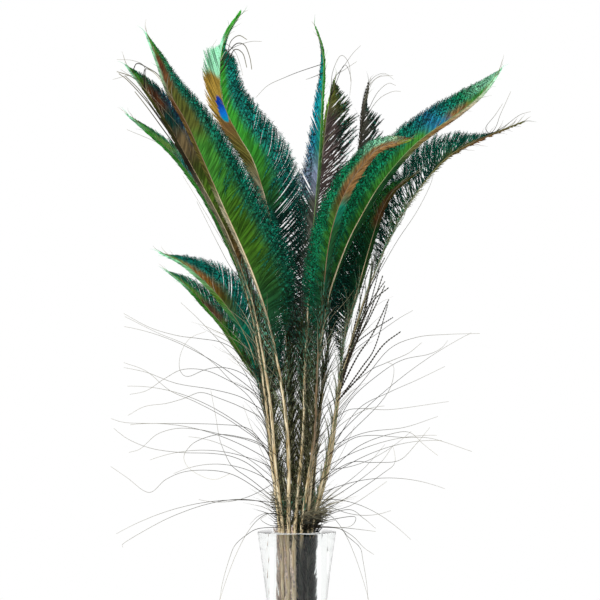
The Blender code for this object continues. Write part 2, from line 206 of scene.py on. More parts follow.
# %% The thirteen feathers
FEATHERS = [
    Feather(
        "tall_left", 241,
        [(-9, 292), (-21, 378), (-41, 450), (-76, 531), (-108, 604), (-128, 640),
         (-139, 670), (-150, 698)],
        lean=-85, side=1, turn=-8, vane_from=365, width=46, outer=4.5, barbs=190, fuzz=3.6,
        well="mauve", inner=0.58, full=2.8, taper=1.1, open_to=0.17, stray=0.4, down=150,
        bare_to=0.74, covered="brown",
        near=[(0, "darkteal"), (0.2, "fern"), (0.34, "moss"), (0.48, "moss"),
              (0.56, "leaf"), (0.66, "leaf"), (0.72, "olive"), (0.82, "olive"),
              (0.87, "brown"), (0.9, "redbrown"), (0.93, "redbrown"), (0.96, "leaf"),
              (1, "bright")],
        far=[(0, "blackgreen"), (0.16, "fern"), (0.34, "teal"), (0.86, "teal"),
             (0.95, "leaf"), (1, "bright")],
        thin=[(0, "straw"), (0.45, "straw"), (0.55, "olive"), (0.8, "brown"),
              (1, "palegreen")],
        wisps=[(262, (-96, -60, 236), 26), (238, (-52, -95, 330), 20)],
    ),
    Feather(
        "slim_left", 215,
        [(-21, 262), (-27, 332), (-41, 415), (-51, 449), (-71, 501), (-100, 556),
         (-131, 611), (-150, 640), (-170, 666)],
        lean=-50, side=1, turn=42, vane_from=405, width=29, outer=8.5, barbs=140, fuzz=2.9,
        well="mauve", inner=0.6, full_by=0.7, full=9.0, down=110, bare_to=0.8,
        covered="brown",
        near=[(0, "straw"), (0.25, "tan"), (0.36, "olive"), (0.5, "lime"), (0.6, "olive"),
              (0.65, "pinkbrown"), (0.7, "pinkbrown"), (0.75, "darkteal"),
              (0.79, "darkteal"), (0.83, "redbrown"), (0.9, "redbrown"), (0.95, "leaf"),
              (1, "bright")],
        far=[(0, "blackgreen"), (0.5, "darkteal"), (0.7, "steel"), (0.9, "darkteal"),
             (1, "bright")],
        thin=[(0, "straw"), (0.4, "straw"), (0.6, "darkbrown"), (0.9, "olive"),
              (1, "palegreen")],
        wisps=[(268, (-165, -30, 308), -28), (246, (-120, -70, 262), -30),
               (216, (-77, -34, 132), -62)],
    ),
    Feather(
        "low_left", 180,
        [(-25, 271), (-31, 331), (-40, 391), (-50, 436), (-64, 475), (-90, 531),
         (-120, 573), (-144, 596), (-168, 616)],
        lean=5, side=1, turn=58, vane_from=405, width=32, outer=11, barbs=110, fuzz=2.4,
        well="mauve", inner=0.6, full_by=0.65, full=4.0, outer_taper=0.35, down=90,
        bare_to=0.7,
        near=[(0, "olive"), (0.3, "lime"), (0.5, "leaf"), (0.6, "lime"), (0.67, "aqua"),
              (0.73, "aqua"), (0.8, "lime"), (0.88, "leaf"), (1, "bright")],
        far=[(0, "darkteal"), (0.4, "teal"), (0.8, "sea"), (1, "bright")],
        thin=[(0, "olive"), (0.3, "bright"), (0.9, "bright"), (1, "palegreen")],
        wisps=[(282, (-170, 10, 345), -34), (330, (-172, -12, 405), -26),
               (228, (-182, 20, 196), -30)],
    ),
    Feather(
        "eyed", 90,
        [(-5, 271), (-9, 381), (-14, 441), (-21, 492), (-41, 564), (-57, 594), (-69, 617),
         (-76, 640), (-76, 675), (-70, 697), (-57, 716)],
        lean=35, side=1, turn=4, vane_from=360, width=47, outer=22, barbs=190, fuzz=4.0,
        well="mauve", inner=0.4, full=3.8, taper=1.2, outer_by=1.1, outer_taper=0.05,
        plume_from=0.89, open_to=0.5, wild=0.03, stray=0.45, down=230, bare_to=0.8,
        covered="leaf",
        near=[(0, "blackgreen"), (0.42, "darkteal"), (0.52, "leaf"), (0.6, "bright"),
              (1, "bright")],
        far=[(0, "blackgreen"), (0.42, "darkteal"), (0.56, "aqua"), (0.85, "aqua"),
             (0.95, "sea"), (1, "bright")],
        thin=[(0, "straw"), (0.5, "straw"), (0.58, "khaki"), (0.63, "khaki"), (0.69, "tan"),
              (0.73, "gold"), (0.815, "gold"), (0.83, "palegreen"), (0.91, "palegreen"),
              (0.94, "bright")],
        wisps=[(250, (-40, 130, 330), 18), (275, (20, 140, 380), 22)],
    ),
    Feather(
        "centre", 263,
        [(6, 291), (8, 360), (14, 471), (19, 531), (23, 585), (25, 624), (27, 665),
         (25, 685), (19, 703)],
        lean=-40, side=-1, turn=60, vane_from=345, width=66, outer=6, barbs=120, fuzz=1.8,
        well="mauve", inner=0.4, full=1.6, taper=1.3, open_to=0.6, wild=0.05, down=220,
        bare_to=0.62, covered="leaf",
        near=[(0, "grey"), (0.4, "grey"), (0.52, "grey"), (0.6, "lavender"), (0.67, "aqua"),
              (0.8, "aqua"), (0.9, "sea"), (1, "bright")],
        far=[(0, "grey"), (0.4, "darkteal"), (0.52, "darkteal"), (0.6, "lavender"),
             (0.68, "azure"), (0.76, "cyan"), (0.84, "cyan"), (0.95, "aqua"),
             (1, "bright")],
        thin=[(0, "grey"), (0.5, "grey"), (0.8, "bright"), (1, "bright")],
        wisps=[(224, (-14, -112, 262), 22), (243, (30, -120, 318), 24)],
    ),
    Feather(
        "brown", 60,
        [(10, 300), (13, 431), (17, 501), (23, 556), (27, 588), (31, 620), (38, 650)],
        lean=70, side=1, turn=0, vane_from=350, width=32, outer=4, barbs=138, fuzz=3.0,
        well="blackgreen", inner=0.6, full=24.0, open_to=0.9, wild=0.24, stray=0.8,
        down=190, bare_to=0.5, covered="grey",
        near=[(0, "darkbrown"), (0.3, "plum"), (0.88, "plum"), (0.95, "olive"),
              (1, "olive")],
        far=[(0, "blackgreen"), (0.3, "plum"), (0.75, "plum"), (0.85, "blackgreen"),
             (1, "olive")],
        thin=[(0, "grey"), (0.8, "olive"), (1, "lime")],
        wisps=[(236, (60, 128, 300), 24), (290, (62, 110, 420), 16)],
    ),
    Feather(
        "dark", 33,
        [(19, 281), (28, 361), (36, 421), (46, 481), (55, 531), (62, 579), (66, 624),
         (72, 648)],
        lean=105, side=1, turn=25, vane_from=385, width=32, outer=1.5, barbs=90, fuzz=2.4,
        well="blackgreen", inner=0.6, full=14.0, plume_from=0.91, open_to=1.1, wild=0.2,
        down=90, bare_to=0.5, covered="darkbrown",
        near=[(0, "blackgreen"), (0.5, "darkbrown"), (0.85, "grey"), (1, "grey")],
        far=[(0, "blackgreen"), (0.6, "darkteal"), (0.85, "blackgreen"), (1, "grey")],
        thin=[(0, "darkbrown"), (1, "grey")],
        wisps=[(262, (118, 96, 296), 26)],
    ),
    Feather(
        "bronze", 285,
        [(17, 291), (21, 371), (26, 431), (31, 481), (39, 516), (50, 542), (64, 564),
         (82, 583), (112, 592)],
        lean=-115, side=-1, turn=8, vane_from=380, width=24, outer=9, barbs=130, fuzz=2.6,
        well="blackgreen", inner=0.38, full=1.4, taper=0.45, wild=0.04, down=90,
        bare_to=0.4, covered="brown",
        near=[(0, "darkteal"), (0.3, "fern"), (0.5, "leaf"), (0.66, "brown"), (0.7, "tan"),
              (0.95, "tan"), (1, "lime")],
        far=[(0, "blackgreen"), (0.45, "sea"), (0.8, "sea"), (0.9, "palegreen"),
             (1, "orange")],
        thin=[(0, "darkteal"), (0.5, "fern"), (0.6, "teal"), (0.67, "tan"), (0.95, "tan"),
              (1, "lime")],
        wisps=[(276, (84, -128, 330), -24)],
    ),
    Feather(
        "long_right", 307,
        [(18, 301), (20, 355), (29, 421), (37, 452), (50, 487), (62, 511), (84, 548),
         (119, 588), (164, 620), (187, 640), (203, 662)],
        lean=-90, side=-1, turn=8, vane_from=372, width=23, outer=6, barbs=190, fuzz=3.0,
        well="blackgreen", inner=0.32, full=11.0, taper=1.1, down=80, bare_to=0.74,
        covered="leaf",
        near=[(0, "darkteal"), (0.2, "fern"), (0.4, "leaf"), (0.72, "leaf"),
              (0.76, "azure"), (0.79, "azure"), (0.82, "tan"), (0.86, "tan"),
              (0.89, "leaf"), (0.93, "bright"), (0.97, "palegreen")],
        far=[(0, "blackgreen"), (0.2, "darkteal"), (0.4, "sea"), (0.64, "sea"),
             (0.71, "aqua"), (0.76, "azure"), (0.81, "aqua"), (0.87, "sea"),
             (0.95, "palegreen")],
        thin=[(0, "fern"), (0.6, "fern"), (0.78, "tan"), (0.88, "straw"), (1, "palegreen")],
        wisps=[(240, (92, -72, 226), 24), (256, (136, -84, 300), -22)],
    ),
    Feather(
        "far_right", 8,
        [(33, 271), (40, 321), (48, 366), (69, 436), (95, 497), (119, 538), (150, 574),
         (187, 594), (226, 610)],
        lean=60, side=-1, turn=18, vane_from=462, width=46, outer=3, barbs=165, fuzz=3.4,
        well="blackgreen", inner=0.3, full=7.0, taper=9.0, open_to=0.7, wild=0.3, stray=0.6,
        down=14, pale=1.0, bare_to=0.62,
        near=[(0, "blackgreen"), (0.3, "fern"), (0.5, "darkteal"), (0.72, "olive"),
              (0.8, "brown"), (0.88, "olive"), (1, "leaf")],
        far=[(0, "blackgreen"), (0.35, "darkteal"), (0.7, "teal"), (0.9, "darkteal"),
             (1, "teal")],
        thin=[(0, "straw"), (0.5, "olive"), (0.8, "brown"), (1, "olive")],
        wisps=[(290, (178, 60, 398), -20), (238, (150, 44, 240), -26)],
    ),
    Feather(
        "olive", 333,
        [(32, 281), (40, 332), (47, 389), (54, 418), (63, 450), (77, 499), (86, 524),
         (98, 542), (117, 557)],
        lean=-45, side=-1, turn=28, vane_from=372, width=38, outer=5, barbs=140, fuzz=2.8,
        well="blackgreen", inner=0.36, full=2.0, wild=0.04, down=24, pale=1.0, bare_to=0.84,
        covered="brown",
        near=[(0, "darkteal"), (0.5, "fern"), (0.66, "fern"), (0.71, "brown"),
              (0.93, "brown"), (1, "leaf")],
        far=[(0, "blackgreen"), (0.3, "darkteal"), (0.6, "fern"), (0.9, "leaf"),
             (1, "teal")],
        thin=[(0, "olive"), (0.66, "fern"), (0.74, "brown"), (1, "olive")],
        wisps=[(250, (144, -24, 292), -24), (232, (112, -52, 196), -26),
               (216, (72, -40, 132), -62)],
    ),
    Feather(
        "short_upper", 148,
        [(-27, 291), (-36, 341), (-45, 379), (-57, 406), (-72, 428), (-87, 445),
         (-102, 459), (-117, 470), (-136, 479)],
        lean=45, side=1, turn=26, vane_from=312, width=43, outer=7, barbs=120, fuzz=3.2,
        well="mauve", inner=0.34, full=6.0, taper=2.0, wild=0.05, stray=0.45, down=70,
        near=[(0, "darkteal"), (0.45, "teal"), (0.62, "olive"), (0.73, "orange"),
              (0.87, "orange"), (0.93, "lime"), (1, "bright")],
        far=[(0, "blackgreen"), (0.25, "darkteal"), (0.5, "aqua"), (0.9, "aqua"),
             (1, "bright")],
        thin=[(0, "darkteal"), (0.45, "teal"), (0.64, "lime"), (1, "palegreen")],
        wisps=[(262, (-150, 66, 268), -28)],
    ),
    Feather(
        "short_lower", 120,
        [(-25, 291), (-32, 337), (-45, 360), (-60, 384), (-74, 406), (-93, 427),
         (-111, 446), (-130, 461)],
        lean=75, side=1, turn=54, vane_from=306, width=44, outer=10, barbs=110, fuzz=3.0,
        well="mauve", inner=0.36, full=5.0, wild=0.07, stray=0.45, down=70,
        near=[(0, "bright"), (0.2, "lime"), (0.45, "bright"), (0.58, "leaf"),
              (0.64, "brown"), (0.74, "brown"), (0.8, "lime"), (1, "bright")],
        far=[(0, "darkteal"), (0.4, "aqua"), (1, "sea")],
        thin=[(0, "bright"), (0.4, "lime"), (0.8, "bright"), (1, "palegreen")],
        wisps=[(244, (-112, 104, 290), -22)],
    ),
]
print(len(FEATHERS), "feathers,", sum(f.barbs for f in FEATHERS), "barbs on broad vanes")

# %% [markdown]
# ## The loose barbs
#
# Under the vanes and round the tips, long single barbs leave the quills like hairs.
# Random ones would fill the space just as well, but these few lines are what the eye
# follows, so each has a course of its own, read off the front view.
#
# A row has the height of its root, the depth of its tip and its course as (across, up).
# A word at its end says that the barb is beaded like a string, or thick.

# %% Loose barb table
HAIRS = {
    "tall_left": [
        (222, -80, [(-42, 249), (-62, 263), (-69, 272), (-77, 292), (-81, 315),
                    (-86, 341)]),
        (268, -70, [(-37, 288), (-55, 294), (-75, 297), (-91, 294), (-105, 287),
                    (-113, 274), (-105, 261), (-84, 252), (-66, 258)]),
        (216, -70, [(-29, 218), (-39, 215), (-47, 207)]),
        (560, -60, [(-98, 600), (-118, 636), (-130, 668)]),
    ],
    "slim_left": [
        (300, -40, [(-39, 333), (-55, 364), (-80, 393), (-100, 414), (-116, 429)]),
        (262, -60, [(-35, 287), (-55, 303), (-77, 317), (-102, 330), (-127, 341),
                    (-150, 360), (-173, 369)]),
        (240, -30, [(-42, 263), (-62, 274), (-84, 278), (-116, 279), (-145, 283),
                    (-168, 292), (-183, 303)]),
        (318, -50, [(-35, 339), (-53, 357), (-73, 364), (-91, 362), (-109, 355),
                    (-117, 362), (-116, 378), (-107, 393), (-91, 400)]),
        (207, -45, [(-26, 206), (-36, 212), (-30, 216)]),
        (205, -34, [(-38, 203), (-51, 196), (-62, 186), (-68, 171), (-74, 150),
                    (-77, 132)]),
        (640, -50, [(-152, 664), (-164, 671), (-180, 672)]),
        (626, -44, [(-150, 650), (-166, 656), (-184, 652)]),
        (590, -40, [(-128, 622), (-150, 644), (-176, 662)]),
        (560, -60, [(-112, 596), (-138, 628), (-160, 650)]),
        (570, -44, [(-134, 608), (-150, 630), (-168, 650), (-178, 658)], "thick"),
        (556, -44, [(-132, 600), (-148, 622), (-162, 640)], "thick"),
        (655, -60, [(-160, 668), (-150, 664), (-138, 656), (-131, 641)], "thick"),
        (640, -60, [(-152, 662), (-142, 658), (-134, 648)], "thick"),
        (580, -44, [(-140, 618), (-156, 640), (-172, 656)], "thick"),
        (610, -44, [(-150, 640), (-164, 654), (-180, 660)], "thick"),
        (400, -60, [(-46, 448), (-58, 470), (-70, 484), (-92, 520), (-114, 556)]),
        (410, -50, [(-46, 452), (-64, 480), (-78, 500), (-90, 530), (-95, 552)]),
    ],
    "low_left": [
        (352, 10, [(-58, 378), (-75, 389), (-98, 393), (-120, 396), (-147, 404),
                   (-173, 418)]),
        (315, -20, [(-39, 335), (-68, 351), (-91, 361), (-114, 362), (-132, 353),
                    (-150, 341), (-167, 337)]),
        (270, 10, [(-37, 292), (-51, 304), (-77, 307), (-111, 308), (-145, 308),
                   (-172, 309), (-186, 313)]),
        (221, 20, [(-37, 230), (-62, 232), (-91, 227), (-120, 217), (-143, 206),
                   (-172, 189), (-174, 184)]),
        (318, 0, [(-55, 334), (-84, 342), (-120, 348), (-150, 359), (-173, 364)]),
        (560, 0, [(-116, 580), (-128, 598), (-134, 620)]),
        (540, 10, [(-108, 566), (-134, 586), (-170, 602)]),
        (390, 0, [(-48, 440), (-66, 464), (-80, 490), (-100, 530)]),
    ],
    "eyed": [
        (690, 20, [(-71, 688), (-62, 680), (-57, 668), (-54, 656)]),
        (684, 30, [(-67, 682), (-59, 686), (-46, 690), (-35, 690)]),
        (640, 50, [(-90, 648), (-94, 658), (-91, 674), (-80, 692)]),
        (672, 20, [(-68, 680), (-60, 688), (-52, 686), (-47, 674), (-45, 662)], "thick"),
        (668, 10, [(-70, 676), (-66, 690), (-58, 696), (-50, 692)], "thick"),
        (660, 30, [(-68, 672), (-62, 682), (-54, 678), (-50, 664)], "thick"),
    ],
    "centre": [
        (665, -30, [(3, 660), (-12, 654), (-29, 646), (-41, 634)]),
        (656, -20, [(15, 654), (9, 652)]),
    ],
    "brown": [
        (640, 70, [(38, 654), (48, 662), (60, 670)]),
        (640, 60, [(47, 666), (54, 654), (53, 636)]),
        (630, 70, [(34, 642), (36, 660), (44, 676), (52, 668), (54, 650)]),
        (634, 64, [(36, 650), (46, 664), (56, 678), (64, 686)]),
    ],
    "dark": [
        (276, 100, [(65, 298), (107, 304), (141, 315)]),
        (352, 90, [(61, 384), (82, 399), (102, 413), (116, 421)]),
        (630, 110, [(69, 626), (73, 644), (81, 654), (96, 656)]),
        (610, 100, [(71, 620), (80, 638), (91, 648), (99, 646)]),
        (622, 110, [(66, 630), (70, 645), (78, 655), (88, 658), (97, 652)]),
        (600, 105, [(66, 616), (68, 634), (74, 648), (84, 656), (92, 656)]),
        (590, 100, [(68, 606), (74, 622), (84, 634), (96, 640), (104, 640)]),
    ],
    "bronze": [
        (290, 20, [(45, 318), (65, 323), (94, 322), (152, 330)]),
        (244, 10, [(51, 268), (76, 269), (102, 271), (119, 287), (133, 304)]),
        (214, 0, [(45, 223), (61, 230), (90, 250)]),
        (206, -10, [(42, 204), (63, 202), (79, 200)]),
        (262, 40, [(49, 289), (71, 296), (107, 294), (135, 293), (175, 280)]),
    ],
    "long_right": [
        (318, -50, [(69, 358), (88, 368), (111, 378), (125, 389)]),
        (240, -80, [(49, 275), (69, 289), (96, 298), (113, 299), (127, 287), (141, 276)]),
        (206, -60, [(38, 204), (55, 196), (67, 184), (77, 177)]),
    ],
    "far_right": [
        (300, 60, [(55, 333), (86, 360), (107, 372), (131, 377), (144, 383), (151, 391)]),
        (282, 90, [(61, 322), (92, 339), (119, 351), (148, 365)]),
        (226, 70, [(49, 248), (69, 265), (88, 287)]),
        (216, 40, [(57, 238), (86, 258), (98, 269), (96, 287)]),
        (212, 30, [(51, 222), (67, 213), (79, 203)]),
        (330, 60, [(65, 364), (78, 384), (91, 427)], "beaded"),
        (345, 80, [(55, 382), (73, 399), (96, 414)], "beaded"),
        (352, 40, [(60, 400), (70, 432), (76, 470)], "beaded"),
        (346, 50, [(58, 392), (72, 424), (84, 468)], "beaded"),
        (340, 30, [(57, 384), (72, 412), (88, 446)], "beaded"),
        (372, 50, [(62, 412), (72, 440), (82, 462), (88, 474)], "beaded"),
        (366, 44, [(60, 404), (74, 430), (88, 450)], "beaded"),
        (380, 56, [(62, 424), (68, 450), (76, 472)], "beaded"),
        (600, 60, [(189, 604), (198, 616), (206, 628)]),
        (598, 60, [(206, 604), (222, 616), (234, 620)]),
        (592, 60, [(196, 600), (204, 618), (214, 640)]),
        (440, 70, [(84, 462), (100, 490), (120, 520), (134, 548), (138, 566)]),
    ],
    "olive": [
        (318, -60, [(65, 349), (92, 382), (119, 394), (148, 397), (183, 398)]),
        (276, -70, [(57, 302), (82, 327), (94, 345), (97, 364), (90, 370)]),
        (224, -60, [(55, 246), (82, 267), (95, 284)]),
        (209, -40, [(53, 215), (59, 212), (53, 205), (38, 204)]),
        (330, -30, [(67, 360), (86, 386), (104, 400)], "beaded"),
        (345, -40, [(60, 390), (72, 416), (86, 456)], "beaded"),
        (350, -50, [(64, 404), (72, 440), (78, 476)], "beaded"),
        (336, -30, [(60, 374), (76, 398), (92, 432)], "beaded"),
        (360, -40, [(62, 404), (76, 430), (92, 444)], "beaded"),
        (205, -40, [(42, 203), (51, 195), (63, 184), (66, 172), (70, 147), (71, 132)]),
    ],
    "short_upper": [
        (290, 40, [(-35, 312), (-55, 324), (-77, 333), (-96, 339), (-113, 333), (-131, 328),
                   (-152, 325), (-169, 316)]),
        (224, 70, [(-39, 242), (-62, 256), (-84, 261), (-111, 260), (-131, 252),
                   (-148, 239), (-170, 254), (-186, 265)]),
    ],
    "short_lower": [
        (292, 60, [(-35, 315), (-48, 335), (-66, 351), (-84, 369), (-109, 386), (-140, 399),
                   (-172, 415)]),
        (262, 80, [(-32, 283), (-51, 292), (-75, 297), (-98, 302), (-120, 303), (-140, 297),
                   (-156, 283), (-168, 279)]),
    ],
}
print(sum(len(rows) for rows in HAIRS.values()), "loose barbs with a course of their own")

# %% [markdown]
# ## Smooth courses
#
# Quills and hairs are long smooth curves. A Bezier curve would need a handle at every
# point, while a Catmull-Rom curve simply runs through the points that were measured.
# The solids have the same one, so the mesh lies on them.


# %% Curves
def smooth_curve(points, steps=14):
    """A dense smooth curve through points, as an array."""
    points = [np.array(p, float) for p in points]
    held = [2 * points[0] - points[1], *points, 2 * points[-1] - points[-2]]
    dense = []
    for a, b, c, d in zip(held, held[1:], held[2:], held[3:]):
        for k in range(steps):
            t = k / steps
            dense.append(
                0.5 * (2 * b + (c - a) * t + (2 * a - 5 * b + 4 * c - d) * t**2
                       + (3 * b - a - 3 * c + d) * t**3)
            )
    dense.append(held[-2])
    return np.array(dense)


def seen_at(across, depth, up):
    """The real place of what the front view shows at (across, up)."""
    scale = (VIEW_DISTANCE + depth) / VIEW_DISTANCE
    x = VIEW_CENTRE[0] + (across - VIEW_CENTRE[0]) * scale
    z = VIEW_CENTRE[1] + (up - VIEW_CENTRE[1]) * scale
    return np.array((x, depth, z)) * MM


def unit(rows):
    return rows / np.linalg.norm(rows, axis=1, keepdims=True)


def smooth_step(low, high, values):
    t = np.clip((values - low) / (high - low), 0.0, 1.0)
    return t * t * (3 - 2 * t)


print("seen at (200, 600) but 100 nearer:", (seen_at(200, -100, 600) / MM).round(1))

# %% [markdown]
# ## The quill
#
# A quill is a horny tube, about 4 mm thick where it leaves the vase and under 1 mm at
# the tip. A curve object would give its shape, but the barbs need more: where it is at
# any length, which way it runs there, and which way the broad vane lies. So it is kept
# as a line that can be asked for these.


# %% Quill
class Quill:
    """The centre line of one feather, asked for by height or by length along it."""

    def __init__(self, feather):
        self.feather = feather
        angle = math.radians(feather.angle)
        x, y = QUILL_RING * math.cos(angle), QUILL_RING * math.sin(angle)
        foot = np.array((x * FOOT_GATHER, y * FOOT_GATHER, WELL_FLOOR + FLOOR_GAP)) * MM
        rim = np.array((x, y, VASE_HEIGHT)) * MM
        points = [foot, 0.5 * (foot + rim), rim]
        top = feather.route[-1][1]
        for across, up in feather.route:
            share = ((up - VASE_HEIGHT) / (top - VASE_HEIGHT)) ** 1.2
            points.append(seen_at(across, y + (feather.lean - y) * share, up))
        self.points = smooth_curve(points)
        steps = np.linalg.norm(np.diff(self.points, axis=0), axis=1)
        self.run = np.concatenate(([0.0], np.cumsum(steps)))
        self.total = self.run[-1]
        self.vane_start = self.at_height(feather.vane_from)
        self.span = self.total - self.vane_start

    def at_height(self, height):
        return float(np.interp(height * MM, self.points[:, 2], self.run))

    def place(self, lengths):
        axes = [np.interp(lengths, self.run, self.points[:, k]) for k in range(3)]
        return np.stack(axes, axis=-1)

    def axes(self, lengths):
        """Unit rows along the quill, to the broad vane's edge and out of its face."""
        beyond = np.minimum(lengths + 3 * MM, self.total)
        before = np.maximum(lengths - 3 * MM, 0.0)
        ahead = unit(self.place(beyond) - self.place(before))
        flat = np.stack((ahead[:, 2], 0 * ahead[:, 0], -ahead[:, 0]), axis=1)
        flat = unit(flat) * self.feather.side
        back = np.cross(ahead, flat)
        back *= np.sign(back[:, 1:2])
        turn = math.radians(self.feather.turn)
        edge = flat * math.cos(turn) + back * math.sin(turn)
        return ahead, edge, unit(np.cross(ahead, edge))

    def half(self, lengths):
        """Half its thickness: most of the taper is in the middle of the quill."""
        share = lengths / self.total
        taper = 0.75 * smooth_step(0.3, 0.75, share) + 0.25 * share
        return (QUILL_HALF_WIDTH + (TIP_HALF_WIDTH - QUILL_HALF_WIDTH) * taper) * MM


quills = {feather.name: Quill(feather) for feather in FEATHERS}
for name, quill in quills.items():
    print(f"{name}: quill {quill.total / MM:.0f} mm, vane from {quill.vane_start / MM:.0f}")

# %% [markdown]
# ## The outline of a vane
#
# Barbs stand out from the quill low down and lie along it near the tip, and each ends
# where the vane's outline is. A sheet cut to the outline would cut barbs in two, so it
# is the barbs that get their lengths from it. A slanting barb ends further up than it
# starts, where the vane may be narrower: halving finds the width at which both agree.

# %% How far out each barb ends
BARB_ANGLE_LOW = 74.0
BARB_ANGLE_HIGH = 24.0
NARROW_ANGLE = 21.0
NARROW_OPENS_FROM = 0.15
PLUME_LOSS_BROAD = 0.75
PLUME_LOSS_NARROW = 0.9
HALVINGS = 20


def vane_width(share, greatest, open_from, full_by, full, taper, plume_from, plume_loss):
    """Width of a vane at a share of its length: quick to open, slow to close."""
    opening = smooth_step(open_from, full_by, share)
    plume = 1.0 - plume_loss * smooth_step(plume_from - 0.01, plume_from + 0.015, share)
    closing = (1.0 - 0.995 * share**full) ** taper
    return greatest * MM * (0.08 + 0.92 * opening) * closing * plume


def barb_angles(share, broad):
    """The angle between barb and quill, in radians."""
    if broad:
        return np.radians(BARB_ANGLE_LOW + (BARB_ANGLE_HIGH - BARB_ANGLE_LOW) * share)
    return np.radians(np.full_like(share, NARROW_ANGLE))


def barb_widths(quill, share, broad):
    """How far out each barb ends: as wide as the vane is where the barb ends."""
    feather = quill.feather
    shape = (feather.width, 0.0, feather.full_by, feather.full, feather.taper,
             feather.plume_from, PLUME_LOSS_BROAD)
    if not broad:
        shape = (feather.outer, NARROW_OPENS_FROM, feather.outer_by, 1.0,
                 feather.outer_taper, feather.plume_from, PLUME_LOSS_NARROW)
    forward = 1.0 / np.tan(barb_angles(share, broad)) / quill.span
    low, high = np.zeros_like(share), np.full_like(share, shape[0] * MM)
    for _ in range(HALVINGS):
        width = 0.5 * (low + high)
        end = np.minimum(share + width * forward, 1.0)
        wider = vane_width(end, *shape) > width
        low, high = np.where(wider, width, low), np.where(wider, high, width)
    return width


SHARES = np.linspace(0.0, 1.0, 60)
for name, quill in quills.items():
    widest = barb_widths(quill, SHARES, True).max() / MM
    print(f"{name}: barbs reach {widest:.0f} mm out")

# %% [markdown]
# ## Arithmetic on sockets
#
# The barbs' rules and the colours are formulas, and a formula made of loose nodes is
# hard to read. `Wire` wraps one output socket and adds the nodes when it is reckoned
# with, so a rule reads as on paper. Every other node comes from `put`. Its sockets are
# mostly given by number, because many nodes have several sockets of one name.


# %% Wire
def is_vector(thing):
    if isinstance(thing, Wire):
        return thing.socket.type in ("VECTOR", "RGBA")
    return isinstance(thing, tuple)


def put(tree, kind, sockets=(), out=0, **settings):
    """Adds a node: first its settings, then its sockets' values or links."""
    node = tree.nodes.new(kind)
    for name, value in settings.items():
        setattr(node, name, value)
    for key, value in dict(sockets).items():
        for one in value if isinstance(value, list) else [value]:
            if isinstance(one, Wire):
                tree.links.new(one.socket, node.inputs[key])
            else:
                node.inputs[key].default_value = one
    return Wire(tree, node.outputs[out])


def reckon(operation, *terms):
    """A maths node, of vectors if any term is one."""
    tree = next(t.tree for t in terms if isinstance(t, Wire))
    vectors = [is_vector(t) for t in terms]
    if not any(vectors):
        return put(tree, "ShaderNodeMath", enumerate(terms), operation=operation)
    if operation == "MULTIPLY" and not all(vectors):
        vector, scale = terms if vectors[0] else terms[::-1]
        sockets = {0: vector, 3: scale}
        return put(tree, "ShaderNodeVectorMath", sockets, operation="SCALE")
    return put(tree, "ShaderNodeVectorMath", enumerate(terms), operation=operation)


class Wire:
    """An output socket that can be reckoned with."""

    def __init__(self, tree, socket):
        self.tree, self.socket = tree, socket

    def __getitem__(self, name):
        return Wire(self.tree, self.socket.node.outputs[name])

    def do(self, operation, *others):
        return reckon(operation, self, *others)

    def put(self, kind, sockets=(), out=0, **settings):
        return put(self.tree, kind, sockets, out, **settings)

    def __add__(self, other):
        return reckon("ADD", self, other)

    def __radd__(self, other):
        return reckon("ADD", other, self)

    def __sub__(self, other):
        return reckon("SUBTRACT", self, other)

    def __rsub__(self, other):
        return reckon("SUBTRACT", other, self)

    def __mul__(self, other):
        return reckon("MULTIPLY", self, other)

    def __rmul__(self, other):
        return reckon("MULTIPLY", other, self)

    def __truediv__(self, other):
        return reckon("DIVIDE", self, other)

    def __rtruediv__(self, other):
        return reckon("DIVIDE", other, self)

    def ramp(self, low, high, start=0.0, end=1.0):
        """Runs smoothly from start to end while the value runs from low to high."""
        sockets = {0: self, 1: low, 2: high, 3: start, 4: end}
        return self.put("ShaderNodeMapRange", sockets, interpolation_type="SMOOTHSTEP")

    def store(self, name, value, data_type="FLOAT", domain="POINT"):
        """Keeps a field on this geometry under a name."""
        sockets = {0: self, 2: name, 3: value}
        kind = "GeometryNodeStoreNamedAttribute"
        return self.put(kind, sockets, data_type=data_type, domain=domain)


print("a Wire adds, subtracts, multiplies and divides, also with plain numbers")

# %% [markdown]
# ## Geometry trees
#
# A tree takes a geometry and inputs with names, and gives a geometry back. Two trees
# are enough: one sweeps a line to a tube, the other grows a comb of barbs from a line.
# What the script works out for each point of a line is stored on it by name, and
# `read` fetches it inside the tree.


# %% Tree shorthand
def new_tree(name, inputs):
    tree = bpy.data.node_groups.new(name, "GeometryNodeTree")
    face = tree.interface
    face.new_socket("Geometry", in_out="OUTPUT", socket_type="NodeSocketGeometry")
    face.new_socket("Geometry", in_out="INPUT", socket_type="NodeSocketGeometry")
    for label, kind in inputs.items():
        face.new_socket(label, in_out="INPUT", socket_type="NodeSocket" + kind)
    given = tree.nodes.new("NodeGroupInput")
    return tree, {s.name: Wire(tree, s) for s in given.outputs if s.name}


def close_tree(geometry, material, smooth):
    """Realize Instances, Set Material and the way out."""
    solid = geometry.put("GeometryNodeRealizeInstances", {0: geometry})
    solid = solid.put("GeometryNodeSetShadeSmooth", {0: solid, 2: smooth})
    solid = solid.put("GeometryNodeSetMaterial", {0: solid, 2: material})
    out = geometry.tree.nodes.new("NodeGroupOutput")
    geometry.tree.links.new(solid.socket, out.inputs[0])


def read(tree, name, data_type="FLOAT"):
    kind = "GeometryNodeInputNamedAttribute"
    return put(tree, kind, {0: name}, data_type=data_type)


def chance(low, high, key, seed):
    """A value between low and high that is settled by key and seed."""
    sockets = {2: low, 3: high, 7: key, 8: seed}
    return key.put("FunctionNodeRandomValue", sockets, out=1, data_type="FLOAT")


def parts(vector):
    split = vector.put("ShaderNodeSeparateXYZ", {0: vector})
    return split["X"], split["Y"], split["Z"]


